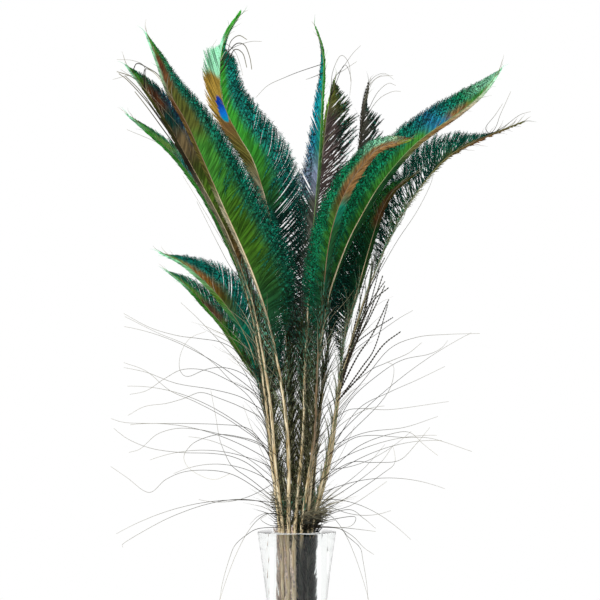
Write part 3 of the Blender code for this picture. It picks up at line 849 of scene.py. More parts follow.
def vector_of(*terms):
    tree = next(t.tree for t in terms if isinstance(t, Wire))
    return put(tree, "ShaderNodeCombineXYZ", enumerate(terms))


def ring(tree, sides, flatness):
    """A closed profile of the given sides that knows how far across each corner is."""
    scale = (flatness, 1.0, 1.0)
    if isinstance(flatness, Wire):
        scale = vector_of(flatness, 1.0, 1.0)
    made = put(tree, "GeometryNodeCurvePrimitiveCircle", {0: sides, 4: 1.0})
    place = put(tree, "GeometryNodeInputPosition")
    made = made.store("across", parts(place)[1])
    made = made.store("above", parts(place)[0])
    return made.put("GeometryNodeTransform", {0: made, "Scale": scale})


# %% [markdown]
# ## The map of a feather
#
# A pattern on a feather follows its barbs, so it can't be painted by place in space.
# Each feather gets a map of its own instead, the UV map that the export bakes. From
# left to right it runs from the lowest barb to the tip. Upwards it is parted into
# lanes, one for each kind of barb, and within a lane it runs from a barb's root to its
# end.

# %% Lanes of the map
MAP_FROM = 0.012
MAP_WIDTH = 0.976
BARB_WIDTH = 0.42
LANES = {
    "broad": (0.01, 0.50),
    "narrow": (0.55, 0.20),
    "quill": (0.78, 0.05),
    "well": (0.85, 0.03),
    "down": (0.90, 0.03),
    "hair": (0.95, 0.03),
}


def on_the_map(geometry, given, across, height):
    """Gives a barb's corners their place: its root along the quill, its lane upwards."""
    tree = geometry.tree
    u = MAP_FROM + read(tree, "along") * MAP_WIDTH + across * (BARB_WIDTH / given["Barbs"])
    v = given["Lane"] + given["Lane Height"] * height
    return geometry.store("OFBake", vector_of(u, v, 0.0), "FLOAT2", "CORNER")


print(len(LANES), "lanes, the highest up to", sum(LANES["hair"]))

# %% [markdown]
# ## Sweep
#
# Quills and hairs are lines with a thickness. A curve object with a bevel could give
# it, but the thickness changes along the line, and some hairs are beaded because their
# barbules have worn to knots. Curve to Mesh takes the thickness from each point, and a
# beaded line is thicker at every other one.


# %% The sweep tree
def sweep_tree():
    tree, given = new_tree(
        "Sweep",
        {"Sides": "Int", "Step": "Float", "Lane": "Float", "Lane Height": "Float",
         "Smooth": "Bool", "Material": "Material"},
    )
    line = put(tree, "GeometryNodeMeshToCurve", {0: given["Geometry"]})
    sockets = {0: line, 3: given["Step"]}
    line = put(tree, "GeometryNodeResampleCurve", sockets, mode="LENGTH")
    index = put(tree, "GeometryNodeInputIndex")
    bead = read(tree, "bead") * (index.do("MODULO", 2.0) * 1.6 - 0.3) + 1.0
    thick = read(tree, "half") * bead
    sockets = {0: line, 1: ring(tree, given["Sides"], 1.0), 2: thick, 3: True}
    tube = put(tree, "GeometryNodeCurveToMesh", sockets)
    u = read(tree, "along") * 0.97 + read(tree, "above") * 0.003 + MAP_FROM
    v = given["Lane"] + given["Lane Height"] * (read(tree, "across") * 0.5 + 0.5)
    tube = tube.store("OFBake", vector_of(u, v, 0.0), "FLOAT2", "CORNER")
    close_tree(tube, given["Material"], given["Smooth"])
    return tree


SWEEP = sweep_tree()
print("the sweep tree has", len(SWEEP.nodes), "nodes")

# %% [markdown]
# ## Barbs, first step: ladders
#
# A vane is hundreds of barbs on one line, so the comb is made as it grew: one point on
# the quill for each barb, and on every point the same ladder of points, from the root
# (0) to the barb's end (1). The ladders have no shape yet, only numbers.


# %% Ladders
def ladders(given):
    """The line as a curve, and on it a ladder of points for each barb."""
    tree = given["Barbs"].tree
    place = put(tree, "GeometryNodeInputPosition")
    index = put(tree, "GeometryNodeInputIndex")
    course = put(tree, "GeometryNodeMeshToCurve", {0: given["Geometry"]})
    line = put(tree, "GeometryNodeResampleCurve", {0: course, 2: given["Barbs"]})
    line = line.store("barb", index, "INT").store("root", place, "FLOAT_VECTOR")
    line = line.store("stand", index / (given["Barbs"] - 1.0))
    rung = vector_of(1.0 / (given["Steps"] - 1.0), 0.0, 0.0)
    ladder = put(tree, "GeometryNodeMeshLine", {0: given["Steps"], 3: rung})
    ladder = ladder.store("step", parts(place)[0])
    combs = put(tree, "GeometryNodeInstanceOnPoints", {0: line, 2: ladder})
    return course, put(tree, "GeometryNodeRealizeInstances", {0: combs})


print("a ladder knows its barb, its root and where on the line it stands")

# %% [markdown]
# ## Barbs, second step: how a barb lies
#
# A barb leaves its root at a slant, bows a little and is cupped like a blade. What
# makes a vane look grown is that neighbours do nearly the same: slow noise along the
# quill gathers them into locks, and only loose barbs stray on their own. Random turns
# alone would give a brush.


# %% Lay of a barb
def lay(given):
    """How far each point is ahead of its root, out along the vane and off its face."""
    seed = given["Seed"]
    tree = seed.tree
    barb, step = read(tree, "barb", "INT"), read(tree, "step")
    along, loose = read(tree, "along"), read(tree, "loose")
    ahead, edge, face = (read(tree, k, "FLOAT_VECTOR") for k in ("ahead", "edge", "face"))
    around = chance(-1.0, 1.0, barb, seed) * given["Around"]
    side = edge * around.do("COSINE") + face * around.do("SINE")
    up = face * around.do("COSINE") - edge * around.do("SINE")
    shorter = (loose + 0.1) * chance(0.0, 0.7, barb, seed + 1.0)
    reach = read(tree, "reach") * (1.0 - shorter)
    slant = read(tree, "slant") + loose * chance(-0.6, 0.6, barb, seed + 2.0)
    chord = ahead * slant.do("COSINE") + side * slant.do("SINE")
    bulge = ahead * slant.do("SINE") - side * slant.do("COSINE")
    bend = given["Bow"] * chance(0.97, 1.03, barb, seed + 3.0) * step * (1.0 - step)
    spot = vector_of(along * 60.0, seed * 3.1, 0.0)
    lock = put(tree, "ShaderNodeTexNoise", {0: spot, 2: 1.0, 3: 2.0}) - 0.5
    spot = vector_of(step * 1.7, barb * 2.3, seed * 1.3)
    wander = put(tree, "ShaderNodeTexNoise", {0: spot, 2: 1.0, 3: 1.0}, out=1)
    wander = (wander - (0.5, 0.5, 0.5)) * (given["Curl"] * (0.05 + loose) * step)
    sway = ahead * (lock * given["Lock"]) + up * given["Cup"]
    laid = chord * step + bulge * bend + sway * (step * step) + wander
    fall = vector_of(0.0, 0.0, 0.0 - given["Droop"]) * (step * step)
    moved = (laid + fall) * reach
    return [moved.do("DOT_PRODUCT", axis)["Value"] for axis in (ahead, edge, face)], around


print("a barb's lay is told as: ahead of the root, out along the vane, off its face")

# %% [markdown]
# ## Barbs, third step: bent with the quill
#
# A ladder laid straight on a curved quill would cut the corner, and the vane's edge
# would leave the quill. So "ahead" is measured along the quill itself: the point takes
# the quill's place and direction there, and goes out from it.
#
# In the vase the barbs are pressed together. Whatever would cut the glass is moved
# into the well, or is laid on the rim if it grew above it.

# %% Bend, and clear of the glass
CLEAR_RADIUS = 20.4 * MM
RIM_LEVEL = 200.35 * MM
RIM_REACH = 40.5 * MM


def clear_of_glass(geometry):
    tree = geometry.tree
    x, y, z = parts(put(tree, "GeometryNodeInputPosition"))
    radius = (x * x + y * y).do("SQRT") + 1e-6
    above = parts(read(tree, "root", "FLOAT_VECTOR"))[2].do("GREATER_THAN", RIM_LEVEL)
    lifted = above * RIM_LEVEL + (1.0 - above) * z
    shrink = above + (1.0 - above) * (CLEAR_RADIUS / radius)
    low = z.do("LESS_THAN", RIM_LEVEL)
    outside = radius.do("GREATER_THAN", CLEAR_RADIUS)
    over_rim = radius.do("LESS_THAN", RIM_REACH).do("MAXIMUM", 1.0 - above)
    target = vector_of(x * shrink, y * shrink, lifted)
    sockets = {0: geometry, 1: low * outside * over_rim, 2: target}
    return geometry.put("GeometryNodeSetPosition", sockets)


def bend_with_quill(combs, course, given):
    tree = combs.tree
    (forward, out, off), around = lay(given)
    extent = put(tree, "GeometryNodeCurveLength", {0: course})
    length = read(tree, "stand") * extent + forward
    held = length.do("MAXIMUM", 0.0).do("MINIMUM", extent)
    sockets = {0: course, 1: read(tree, "edge", "FLOAT_VECTOR"), 3: held, 4: 0}
    kind = "GeometryNodeSampleCurve"
    there = put(tree, kind, sockets, mode="LENGTH", data_type="FLOAT_VECTOR")
    onward, beside = there["Tangent"], there["Value"]
    normal = onward.do("CROSS_PRODUCT", beside)
    target = there["Position"] + onward * (length - held) + beside * out + normal * off
    up = normal * around.do("COSINE") - beside * around.do("SINE")
    combs = combs.store("up", up, "FLOAT_VECTOR")
    return clear_of_glass(put(tree, "GeometryNodeSetPosition", {0: combs, 2: target}))


print(f"barbs keep within {CLEAR_RADIUS / MM:.1f} mm of the axis inside the vase")

# %% [markdown]
# ## Barbs, fourth step: ribbon and barbules
#
# Near the quill the barbs are broad and hook into a closed sheet. Further out they part
# and carry barbules, which make the velvet edge. A ribbon with three corners is the
# thinnest closed form for the barb, wide as far as the sheet goes. A barbule is a
# three-sided spike, one left and one right in turn, because thousands of them have to
# stay light.


# %% Ribbons and barbules
def ribbons_on(strands, given):
    tree = strands.tree
    step = read(tree, "step")
    wide = step.ramp(given["Wide Until"] - 0.1, given["Wide Until"] + 0.3, 1.0, 0.0)
    slim = given["Tip Half Width"]
    half = slim + (given["Root Half Width"] - slim) * wide
    half = half * step.ramp(0.7, 1.05, 1.0, 0.3) * read(tree, "body")
    sockets = {0: strands, 1: ring(tree, 3, given["Flatness"]), 2: half, 3: True}
    ribbons = put(tree, "GeometryNodeCurveToMesh", sockets)
    height = step * 0.96 + read(tree, "above") * 0.008 + 0.01
    return on_the_map(ribbons, given, read(tree, "across"), height)


def barbules_on(strands, given):
    tree, seed = strands.tree, given["Seed"]
    index = put(tree, "GeometryNodeInputIndex")
    step = read(tree, "step")
    sockets = {0: strands, 2: given["Barbule Spacing"]}
    dots = put(tree, "GeometryNodeCurveToPoints", sockets, mode="LENGTH")
    tangent, normal = dots["Tangent"], dots["Normal"]
    flip = index.do("MODULO", 2.0) * 2.0 - 1.0
    beside = normal.do("CROSS_PRODUCT", tangent) * flip
    tilt = chance(0.55, 1.15, index, seed + 4.0)
    rise = chance(-0.45, 0.45, index, seed + 5.0)
    heading = tangent * tilt.do("COSINE") + beside * tilt.do("SINE") + normal * rise
    turned = put(tree, "FunctionNodeAlignRotationToVector", {2: heading}, axis="Z")
    start = given["Barbule From"] * read(tree, "body")
    grown = step.ramp(start, start + 0.25, 0.35, 1.0)
    length = given["Barbule Length"] * grown * chance(0.55, 1.25, index, seed + 6.0)
    length = length * step.ramp(0.8, 1.05, 1.0, 0.45) * read(tree, "fluff")
    thick = given["Barbule Half Width"]
    spike = put(tree, "GeometryNodeMeshCone", {0: 3, 3: 0.0, 4: 1.0, 5: 1.0})
    x, y, z = parts(put(tree, "GeometryNodeInputPosition"))
    spike = spike.store("stem", x + y * 0.5).store("reached", z + x * 0.25)
    kept = step.do("GREATER_THAN", start)
    scale = vector_of(thick, thick, length)
    sockets = {0: dots, 1: kept, 2: spike, 5: turned, 6: scale}
    spikes = put(tree, "GeometryNodeInstanceOnPoints", sockets)
    spikes = put(tree, "GeometryNodeRealizeInstances", {0: spikes})
    height = step * 0.94 + read(tree, "reached") * 0.035 + 0.02
    return clear_of_glass(on_the_map(spikes, given, read(tree, "stem"), height))


print("a ribbon has 3 corners all along, a barbule has 3 and a point")

# %% [markdown]
# ## Barbs, last step: one tree
#
# Ribbons and barbules share their ladders, so they are made in one tree and leave it as
# one mesh. Vanes, down and stray barbs differ in the inputs only: a tree for each of
# them would repeat the same nodes. The inputs bear the names of real things, and the
# seed is one of them, so a feather grows the same way every time.

# %% The barb tree
BARB_SIZES = (
    "Bow", "Cup", "Around", "Lock", "Curl", "Droop", "Root Half Width",
    "Tip Half Width", "Wide Until", "Flatness", "Barbule Spacing", "Barbule Length",
    "Barbule From", "Barbule Half Width", "Lane", "Lane Height",
)


def barb_tree():
    whole = {"Barbs": "Int", "Steps": "Int", "Seed": "Int", "Material": "Material"}
    tree, given = new_tree("Barbs", {**whole, **dict.fromkeys(BARB_SIZES, "Float")})
    course, combs = ladders(given)
    combs = bend_with_quill(combs, course, given)
    strands = put(tree, "GeometryNodeMeshToCurve", {0: combs})
    sockets = {0: strands, 2: read(tree, "up", "FLOAT_VECTOR")}
    strands = put(tree, "GeometryNodeSetCurveNormal", sockets, mode="FREE")
    both = [ribbons_on(strands, given), barbules_on(strands, given)]
    both = put(tree, "GeometryNodeJoinGeometry", {0: both})
    close_tree(both, given["Material"], False)
    return tree


BARBS = barb_tree()
print("the barb tree has", len(BARBS.nodes), "nodes")

# %% [markdown]
# ## Colour on the map
#
# The materials need only a few tools: a ramp through named colours, a blend, and noise
# on the map. Bands of colour run straight across a vane, while its barbs slant and end
# further up than they start. Bands read at a barb's root would slant with it. So they
# are read at the height of the place itself, and a ramp with rows worked out for the
# mesh says how far forward a barb gets.

# %% Colour tools
# DARK is partly painted shade between barbules, PAINTED_GLINT a painted highlight, EDGE the
# vane's darker teal edge
DARK, PAINTED_GLINT, EDGE = ((*COLOURS[n], 1.0) for n in ("blackgreen", "glint", "darkteal"))


def ramp_node(place, stops):
    """A colour ramp with (position, RGB) stops."""
    made = place.put("ShaderNodeValToRGB", {0: place})
    elements = made.socket.node.color_ramp.elements
    while len(elements) < len(stops):
        elements.new(0.5)
    for element, (position, colour) in zip(elements, stops):
        element.position = position
        element.color = (*colour, 1.0)
    return made


def colour_ramp(place, stops):
    return ramp_node(place, [(position, COLOURS[name]) for position, name in stops])


def lookup(place, values):
    """The value that belongs to a place, from rows worked out for the mesh."""
    stops = np.linspace(0.0, 1.0, 11)
    found = [float(np.interp(stop, SHARES, values)) for stop in stops]
    return parts(ramp_node(place, [(s, (f, f, f)) for s, f in zip(stops, found)]))[0]


def blend(factor, first, second):
    sockets = {0: factor, 6: first, 7: second}
    return factor.put("ShaderNodeMix", sockets, out=2, data_type="RGBA")


def grain(spot, across, up, detail, shift):
    """Noise on the map: so many grains across it and up it."""
    u, v = spot
    place = vector_of(u * across + shift, v * up, shift)
    return put(u.tree, "ShaderNodeTexNoise", {0: place, 2: 1.0, 3: detail})


def up_lane(v, lane):
    low, high = LANES[lane]
    return (v - low) / high


def in_lane(v, lane):
    """1 inside a lane and 0 outside it."""
    low, high = LANES[lane]
    return v.do("GREATER_THAN", low - 0.01) * v.do("LESS_THAN", low + high + 0.01)


def level_with(along, reached, feather, broad):
    """How far up the vane a place on a barb is, which is further up than its root."""
    quill = quills[feather.name]
    forward = barb_widths(quill, SHARES, broad) / np.tan(barb_angles(SHARES, broad))
    return along + reached * lookup(along, forward / quill.span)


def new_material(name, roughness, **plain):
    material = bpy.data.materials.new(name)
    material.use_nodes = True
    shader = material.node_tree.nodes["Principled BSDF"]
    shader.inputs["Roughness"].default_value = roughness
    for label, value in plain.items():
        shader.inputs[label.replace("_", " ")].default_value = value
    return material, shader


print("the rows of a lookup are", len(SHARES), "shares of the vane's length")

# %% [markdown]
# ## The broad vane's colours
#
# Beside the quill a broad vane is smooth and shows its bands clean. Further out the
# barbs part and the bands turn teal. There the colour gets nearly black specks, partly
# the barbules' own black and partly painted shade of the gaps between them, and some
# painted glints. A photograph of a feather laid on it would be simplest, but it would
# be the same from all sides and fixed in size. Noise that is stretched along the barbs
# gives all three at any size.


# %% Broad vane
def broad_colour(feather, along, spot):
    barbs, inner = feather.barbs, feather.inner
    out = up_lane(spot[1], "broad")
    level = level_with(along, out, feather, True)
    reached = out + (grain(spot, barbs * 0.35, 9.0, 2.0, 3.0) - 0.5) * 0.3
    near, far = colour_ramp(level, feather.near), colour_ramp(level, feather.far)
    colour = blend(reached.ramp(inner - 0.22, inner + 0.2), near, far)
    streak = grain(spot, barbs * 0.8, 4.0, 1.0, 7.0).ramp(0.3, 0.7, 0.55, 1.45)
    colour = colour * streak
    speck = grain(spot, barbs * 1.0, 34.0, 2.0, 11.0)
    patch = grain(spot, barbs * 0.14, 12.0, 2.0, 19.0)
    outer = out.ramp(inner - 0.25, inner + 0.15)
    # painted shade: blackgreen specks, partly the shaded gaps between barbules and partly
    # their own near black
    colour = blend(speck.ramp(0.43, 0.53, 0.93, 0.0) * outer, colour, DARK)
    # painted glints: a highlight colour laid on some outer barbules
    colour = blend(speck.ramp(0.56, 0.66) * outer * 0.6, colour, PAINTED_GLINT)
    # painted shade: larger blackgreen patches of the same kind
    colour = blend(patch.ramp(0.36, 0.52, 0.55, 0.0) * outer, colour, DARK)
    return blend(reached.ramp(0.85, 1.05) * 0.6, colour, EDGE)


bands = sum(len(f.near) + len(f.far) for f in FEATHERS)
print(bands, "colour bands on", len(FEATHERS), "broad vanes")

# %% [markdown]
# ## The narrow vane's colours, and the eye
#
# The narrow vane is a single strip of fibres. On one feather it carries the half of an
# eye that a side feather may have: deep blue above, cyan below, set in gold. A disc on
# the barbs' own lengths would be drawn out, so the place on the barb is first turned
# into millimetres from the quill.

# %% Narrow vane
EYE_HEIGHT = 625.0
EYE_OUT = 4.2
EYE_RADIUS = 4.3
EYE_LENGTH = 0.036


def paint_eye(colour, along, level, out):
    """The eye on the narrow vane, blue where out and level meet its middle."""
    quill = quills["eyed"]
    widths = barb_widths(quill, SHARES, False) / MM / 100.0
    off_quill = out * lookup(along, widths) * 100.0
    centre = (quill.at_height(EYE_HEIGHT) - quill.vane_start) / quill.span
    x, y = (level - centre) / EYE_LENGTH, (off_quill - EYE_OUT) / EYE_RADIUS
    disc = (x * x + y * y).ramp(0.75, 1.15, 1.0, 0.0)
    stops = [(centre - 0.03, "cyan"), (centre - 0.01, "blue"), (centre + 0.015, "deepblue")]
    return blend(disc, colour, colour_ramp(level, stops))


def narrow_colour(feather, along, spot):
    out = up_lane(spot[1], "narrow")
    level = level_with(along, out, feather, False)
    fibre = grain(spot, feather.barbs * 0.9, 5.0, 1.0, 23.0).ramp(0.3, 0.7, 0.45, 1.5)
    colour = colour_ramp(level, feather.thin) * fibre
    if feather.name == "eyed":
        colour = paint_eye(colour, along, level, out)
    return colour


print(f"the eye is {2 * EYE_RADIUS} mm wide, {EYE_HEIGHT:.0f} mm up")

# %% [markdown]
# ## Down, hairs and the whole barb material
#
# Soft barbs under the vane are a mix of nearly black, brown and straw, and a few carry a
# painted green glint. Down pressed against the glass is one soft colour, light or dark.
# One material for each feather holds all of it and picks by lane, because a piece with
# one material bakes to one picture.


# %% Barb material
def down_colour(feather, along, lit):
    stops = [(0.36, "blackgreen"), (0.45, "darkbrown"), (0.51, "olive"), (0.56, "grey"),
             (0.62, "straw"), (0.75, "leaf")]
    colour = colour_ramp(lit + 0.12 * feather.pale, stops)
    # painted glints on some soft barbs
    return blend(along.ramp(0.4, 0.9) * lit.ramp(0.52, 0.6) * 0.7, colour, PAINTED_GLINT)


def barb_material(feather):
    material, shader = new_material(
        feather.name + " barbs", 0.45, Metallic=0.45, Specular_IOR_Level=0.12
    )
    tree = material.node_tree
    u, v, _ = parts(put(tree, "ShaderNodeUVMap", uv_map="OFBake"))
    along, spot = (u - MAP_FROM) / MAP_WIDTH, (u, v)
    lit = grain(spot, 160.0, 360.0, 2.0, 5.0)
    hair = colour_ramp(along, [(0, "darkbrown"), (0.4, "grey"), (1, "straw")])
    colour = broad_colour(feather, along, spot)
    for lane_name, other in (
        ("narrow", narrow_colour(feather, along, spot)),
        ("well", lit.ramp(0.3, 0.7, 0.6, 1.4) * COLOURS[feather.well]),
        ("down", down_colour(feather, along, lit)),
        ("hair", hair),
    ):
        colour = blend(in_lane(v, lane_name), colour, other)
    tree.links.new(colour.socket, shader.inputs["Base Color"])
    return material


BARB_MATERIALS = {f.name: barb_material(f) for f in FEATHERS}
print(len(BARB_MATERIALS), "barb materials")

# %% [markdown]
# ## The quill's material
#
# A quill is cream horn with brownish stains, smooth enough for a soft gloss. Towards
# the tip barbs and pith cover it with the vane's own tone, and in the vase down lies on
# it. A plain cream would do near the rim only, so it fades into those two by length.

# %% Quill material
CREAM, STAIN = (0.92, 0.80, 0.54, 1.0), (0.46, 0.31, 0.12, 1.0)


def quill_material(feather):
    material, shader = new_material(
        feather.name + " quill", 0.38, Specular_IOR_Level=0.5
    )
    tree = material.node_tree
    u, v, _ = parts(put(tree, "ShaderNodeUVMap", uv_map="OFBake"))
    spot = vector_of(u * 40.0, v * 160.0, 0.0)
    stain = put(tree, "ShaderNodeTexNoise", {0: spot, 2: 1.0, 3: 3.0})
    colour = blend(stain.ramp(0.42, 0.6), CREAM, STAIN)
    quill = quills[feather.name]
    rim = quill.at_height(VASE_HEIGHT - 4.0) / quill.total
    hidden = 0.96 if feather.well == "blackgreen" else 0.2
    soft = (*COLOURS[feather.well], 1.0)
    colour = blend(u.ramp(rim - 0.02, rim + 0.02, hidden, 0.0), colour, soft)
    covered = (*COLOURS[feather.covered], 1.0)
    change = u.ramp(feather.bare_to - 0.05, feather.bare_to + 0.06)
    colour = blend(change * 0.85, colour, covered)
    tree.links.new(colour.socket, shader.inputs["Base Color"])
    return material


QUILL_MATERIALS = {f.name: quill_material(f) for f in FEATHERS}
print(len(bpy.data.materials), "materials in all")

# %% [markdown]
# ## From a line to a mesh
#
# `grow` is the one place where a tree meets an object. It makes a mesh that is only a
# line, stores the numbers of each point on it, sets the tree's inputs by their
# identifiers and keeps the evaluated mesh. The modifier is gone afterwards, so what is
# left is as plain as a mesh made by hand.


# %% Grow
KEPT_ATTRIBUTES = ("position", "OFBake", "material_index", "sharp_face")


def grow(name, lines, tree, values):
    """The mesh that a tree makes of lines. Each line is a dict of rows, one per point."""
    counts = [len(line["place"]) for line in lines]
    rows = {key: np.concatenate([line[key] for line in lines]) for key in lines[0]}
    edges, first = [], 0
    for count in counts:
        edges += [(k, k + 1) for k in range(first, first + count - 1)]
        first += count
    mesh = bpy.data.meshes.new(name)
    mesh.from_pydata(rows.pop("place").tolist(), edges, [])
    for key, column in rows.items():
        flat = column.ndim == 1
        layer = mesh.attributes.new(key, "FLOAT" if flat else "FLOAT_VECTOR", "POINT")
        layer.data.foreach_set("value" if flat else "vector", column.ravel())
    thing = bpy.data.objects.new(name, mesh)
    bpy.context.scene.collection.objects.link(thing)
    modifier = thing.modifiers.new("grow", "NODES")
    modifier.node_group = tree
    for socket in tree.interface.items_tree:
        if socket.in_out == "INPUT" and socket.name in values:
            modifier[socket.identifier] = values[socket.name]
    graph = bpy.context.evaluated_depsgraph_get()
    made = bpy.data.meshes.new_from_object(thing.evaluated_get(graph), depsgraph=graph)
    thing.modifiers.clear()
    thing.data = made
    for key in [a.name for a in made.attributes]:
        if key not in KEPT_ATTRIBUTES and key[0] != ".":
            made.attributes.remove(made.attributes[key])
    return thing


def lane(name):
    return {"Lane": LANES[name][0], "Lane Height": LANES[name][1]}


def grow_quill(quill):
    lengths = np.linspace(0.0, quill.total, 120)
    line = {
        "place": quill.place(lengths), "half": quill.half(lengths),
        "along": lengths / quill.total, "bead": 0.0 * lengths,
    }
    values = {"Sides": 8, "Step": 6 * MM, "Smooth": True}
    values["Material"] = QUILL_MATERIALS[quill.feather.name]
    return grow("quill", [line], SWEEP, {**values, **lane("quill")})


print("a grown mesh keeps", ", ".join(KEPT_ATTRIBUTES))

# %% [markdown]
# ## The two vanes
#
# Both vanes come from the barb tree, on one line each beside the quill. Low down a vane
# is open and downy: its barbs are thin, loose and long in the barbule. Further up they
# are strong and hooked together. Those changes along the quill are numbers of the
# line's points, and what is the same for the whole vane is an input of the tree.

# %% Vanes
ROOTS = 90
BROAD_CLOSENESS = 1.55
NARROW_CLOSENESS = 0.9


def vane_line(quill, broad):
    """The line of barb roots on one side, with all that the barb tree reads."""
    feather = quill.feather
    lengths = np.linspace(quill.vane_start, quill.total - 1 * MM, ROOTS)
    share = np.linspace(0.0, 1.0, ROOTS)
    ahead, edge, face = quill.axes(lengths)
    slant = barb_angles(share, broad)
    width = barb_widths(quill, share, broad)
    low = 0.65 if broad else 0.35
    if not broad:
        edge, width = -edge, width + 1 * MM
    open_to = feather.open_to
    downy = 1.7 - 0.7 * smooth_step(0.2, 0.8, share)
    return {
        "place": quill.place(lengths) + edge * (0.5 * quill.half(lengths))[:, None],
        "ahead": ahead, "edge": edge, "face": face, "along": share,
        "reach": width / np.sin(slant), "slant": slant,
        "loose": feather.wild + 0.5 * (1 - smooth_step(0.0, open_to, share)),
        "fluff": downy - 0.7 * smooth_step(0.8, 1.0, share),
        "body": low + (1 - low) * smooth_step(0.6 * open_to, open_to, share),
    }


def grow_vane(quill, broad, seed):
    feather = quill.feather
    count = round(feather.barbs * (BROAD_CLOSENESS if broad else NARROW_CLOSENESS))
    root_half = 0.5 * quill.span / count
    values = {
        "Barbs": count, "Steps": 12 if broad else 9, "Bow": -0.12 if broad else 0.1,
        "Cup": 0.06, "Around": 0.06, "Lock": 0.05, "Curl": 0.25 + 1.2 * feather.wild,
        "Droop": 0.0, "Root Half Width": root_half * (1.4 if broad else 1.0),
        "Tip Half Width": 0.5 * MM, "Wide Until": 0.85, "Flatness": 0.25,
        "Barbule Spacing": 0.9 * MM if broad else 1.8 * MM,
        "Barbule Length": feather.fuzz * MM * (1.0 if broad else 0.5),
        "Barbule From": 0.5 if broad else 0.4, "Barbule Half Width": 0.33 * MM,
        "Seed": seed, "Material": BARB_MATERIALS[feather.name],
        **lane("broad" if broad else "narrow"),
    }
    return grow("vane", [vane_line(quill, broad)], BARBS, values)


print(round(sum(f.barbs for f in FEATHERS) * BROAD_CLOSENESS), "barbs on the broad vanes")

# %% [markdown]
# ## Soft and stray barbs
#
# Between rim and vane a quill is never bare: soft strands lean to the bunch's middle,
# short tufts stand on the rim, down fills the well, and single threads stick out all
# round. They are the same barbs as in the vane, only limper and further apart, so the
# barb tree grows them too, on stretches of the quill that turn inwards or outwards.

# %% Soft barbs
BUNCH_MIDDLE = np.array((1.0, 0.0, 0.0)) * MM
LOOSE = {
    "Steps": 7, "Bow": 0.25, "Cup": 0.1, "Lock": 0.1, "Curl": 0.35, "Droop": 0.0,
    "Root Half Width": 0.6 * MM, "Tip Half Width": 0.4 * MM, "Wide Until": 0.5,
    "Barbule Spacing": 1.9 * MM, "Barbule Length": 2.8 * MM, "Barbule From": 0.1,
    "Barbule Half Width": 0.26 * MM, "Flatness": 0.9,
}
BARE = {
    "Root Half Width": 0.3 * MM, "Tip Half Width": 0.14 * MM, "Barbule From": 2.0,
    "Curl": 0.7,
}
PRESSED = {
    "Root Half Width": 1.5 * MM, "Tip Half Width": 1.0 * MM, "Barbule Spacing": 6.0 * MM,
}
TUFTED = {"Barbule Length": 1.6 * MM, "Curl": 0.8, "Droop": 0.3}
COLLARED = {"Barbule Spacing": 2.6 * MM, "Root Half Width": 0.8 * MM}


def loose_line(quill, low, high, reach, slant, inward):
    """Barb roots between two heights, the barbs turned to the bunch's middle or away."""
    lengths = np.linspace(quill.at_height(low), quill.at_height(high), 40)
    place = quill.place(lengths)
    ahead = quill.axes(lengths)[0]
    towards = (BUNCH_MIDDLE - place) * (1, 1, 0) * (1 if inward else -1)
    edge = unit(towards - ahead * np.sum(towards * ahead, axis=1)[:, None])
    share = np.linspace(0.0, 1.0, 40)
    return {
        "place": place, "ahead": ahead, "edge": edge, "face": np.cross(ahead, edge),
        "along": share, "reach": (reach[0] + (reach[1] - reach[0]) * share) * MM,
        "slant": np.full(40, math.radians(slant)), "loose": np.full(40, 0.35),
        "fluff": np.ones(40), "body": np.ones(40),
    }


def grow_loose(quill, line, seed, lane_name, **changes):
    material = BARB_MATERIALS[quill.feather.name]
    values = {**LOOSE, **lane(lane_name), "Seed": seed, "Material": material, **changes}
    return grow("loose", [line], BARBS, values)


def grow_down(quill, seed):
    """The barbs below the vane, the down inside the well and the tuft on the rim."""
    feather = quill.feather
    vane, down = feather.vane_from, feather.down
    dark = feather.well == "blackgreen"
    front = 200 < feather.angle < 300
    tuft_top, tuft_reach, tufts = (218, (10, 22), 26) if dark else (236, (6, 13), 20)
    rows = [
        # seed, heights, reach, slant, inward, lane, barbs, around, changes
        (0, 203, vane + 40, (34, 56), 19 - 7 * feather.pale, True, "down", down, 1.3, {}),
        (4, 196, vane + 50, (30, 60), 10, True, "down", min(120, 20 + 2 * down), 1.3, BARE),
        (1, 22, 188, (30, 30), 12, front, "well", 90, 0.9 if front else 2.2, PRESSED),
        (2, 201, tuft_top, tuft_reach, 52, False, "hair", tufts, 0.9, TUFTED),
        (6, 176, 216, (24, 40), 13, True, "down", 26, 1.6, COLLARED),
        (5, 202, 222, (26, 52), 52, False, "hair", 12 if dark else 4, 0.9, BARE),
        (3, 215, 390, (28, 64), 30, False, "hair", 14, 1.2, BARE),
    ]
    grown = []
    for step, low, high, reach, slant, inward, lane_name, barbs, around, changes in rows:
        line = loose_line(quill, low, high, reach, slant, inward)
        values = {"Barbs": barbs, "Around": around, **changes}
        grown.append(grow_loose(quill, line, seed + step, lane_name, **values))
    return grown


print(sum(f.down for f in FEATHERS), "soft strands in the bunch")

# %% [markdown]
# ## Wisps and tangle
#
# A worn feather frays in two places. Near the tip a few barbs have lost their barbules
# and stand out of the vane, and low down stray barbs lie across it. Both start from the
# vane's own line of roots, cut to the stretch that frays.

# %% Wisps and tangle
TIP_ROOTS = 60
TANGLE_ROOTS = (48, 88)


def grow_tip_wisps(quill, broad, seed):
    """A few bare barbs that stand out of the vane near its tip."""
    line = vane_line(quill, broad)
    upper = {key: rows[TIP_ROOTS:] for key, rows in line.items()}
    upper["reach"] = (23 - 18 * (upper["along"] - 0.67)) * MM
    upper["slant"] = upper["slant"] * 0.62
    upper["loose"] = np.full(ROOTS - TIP_ROOTS, 0.5)
    where = "hair" if broad else "narrow"
    return grow_loose(quill, upper, seed, where, Barbs=13, Around=0.6, **BARE)


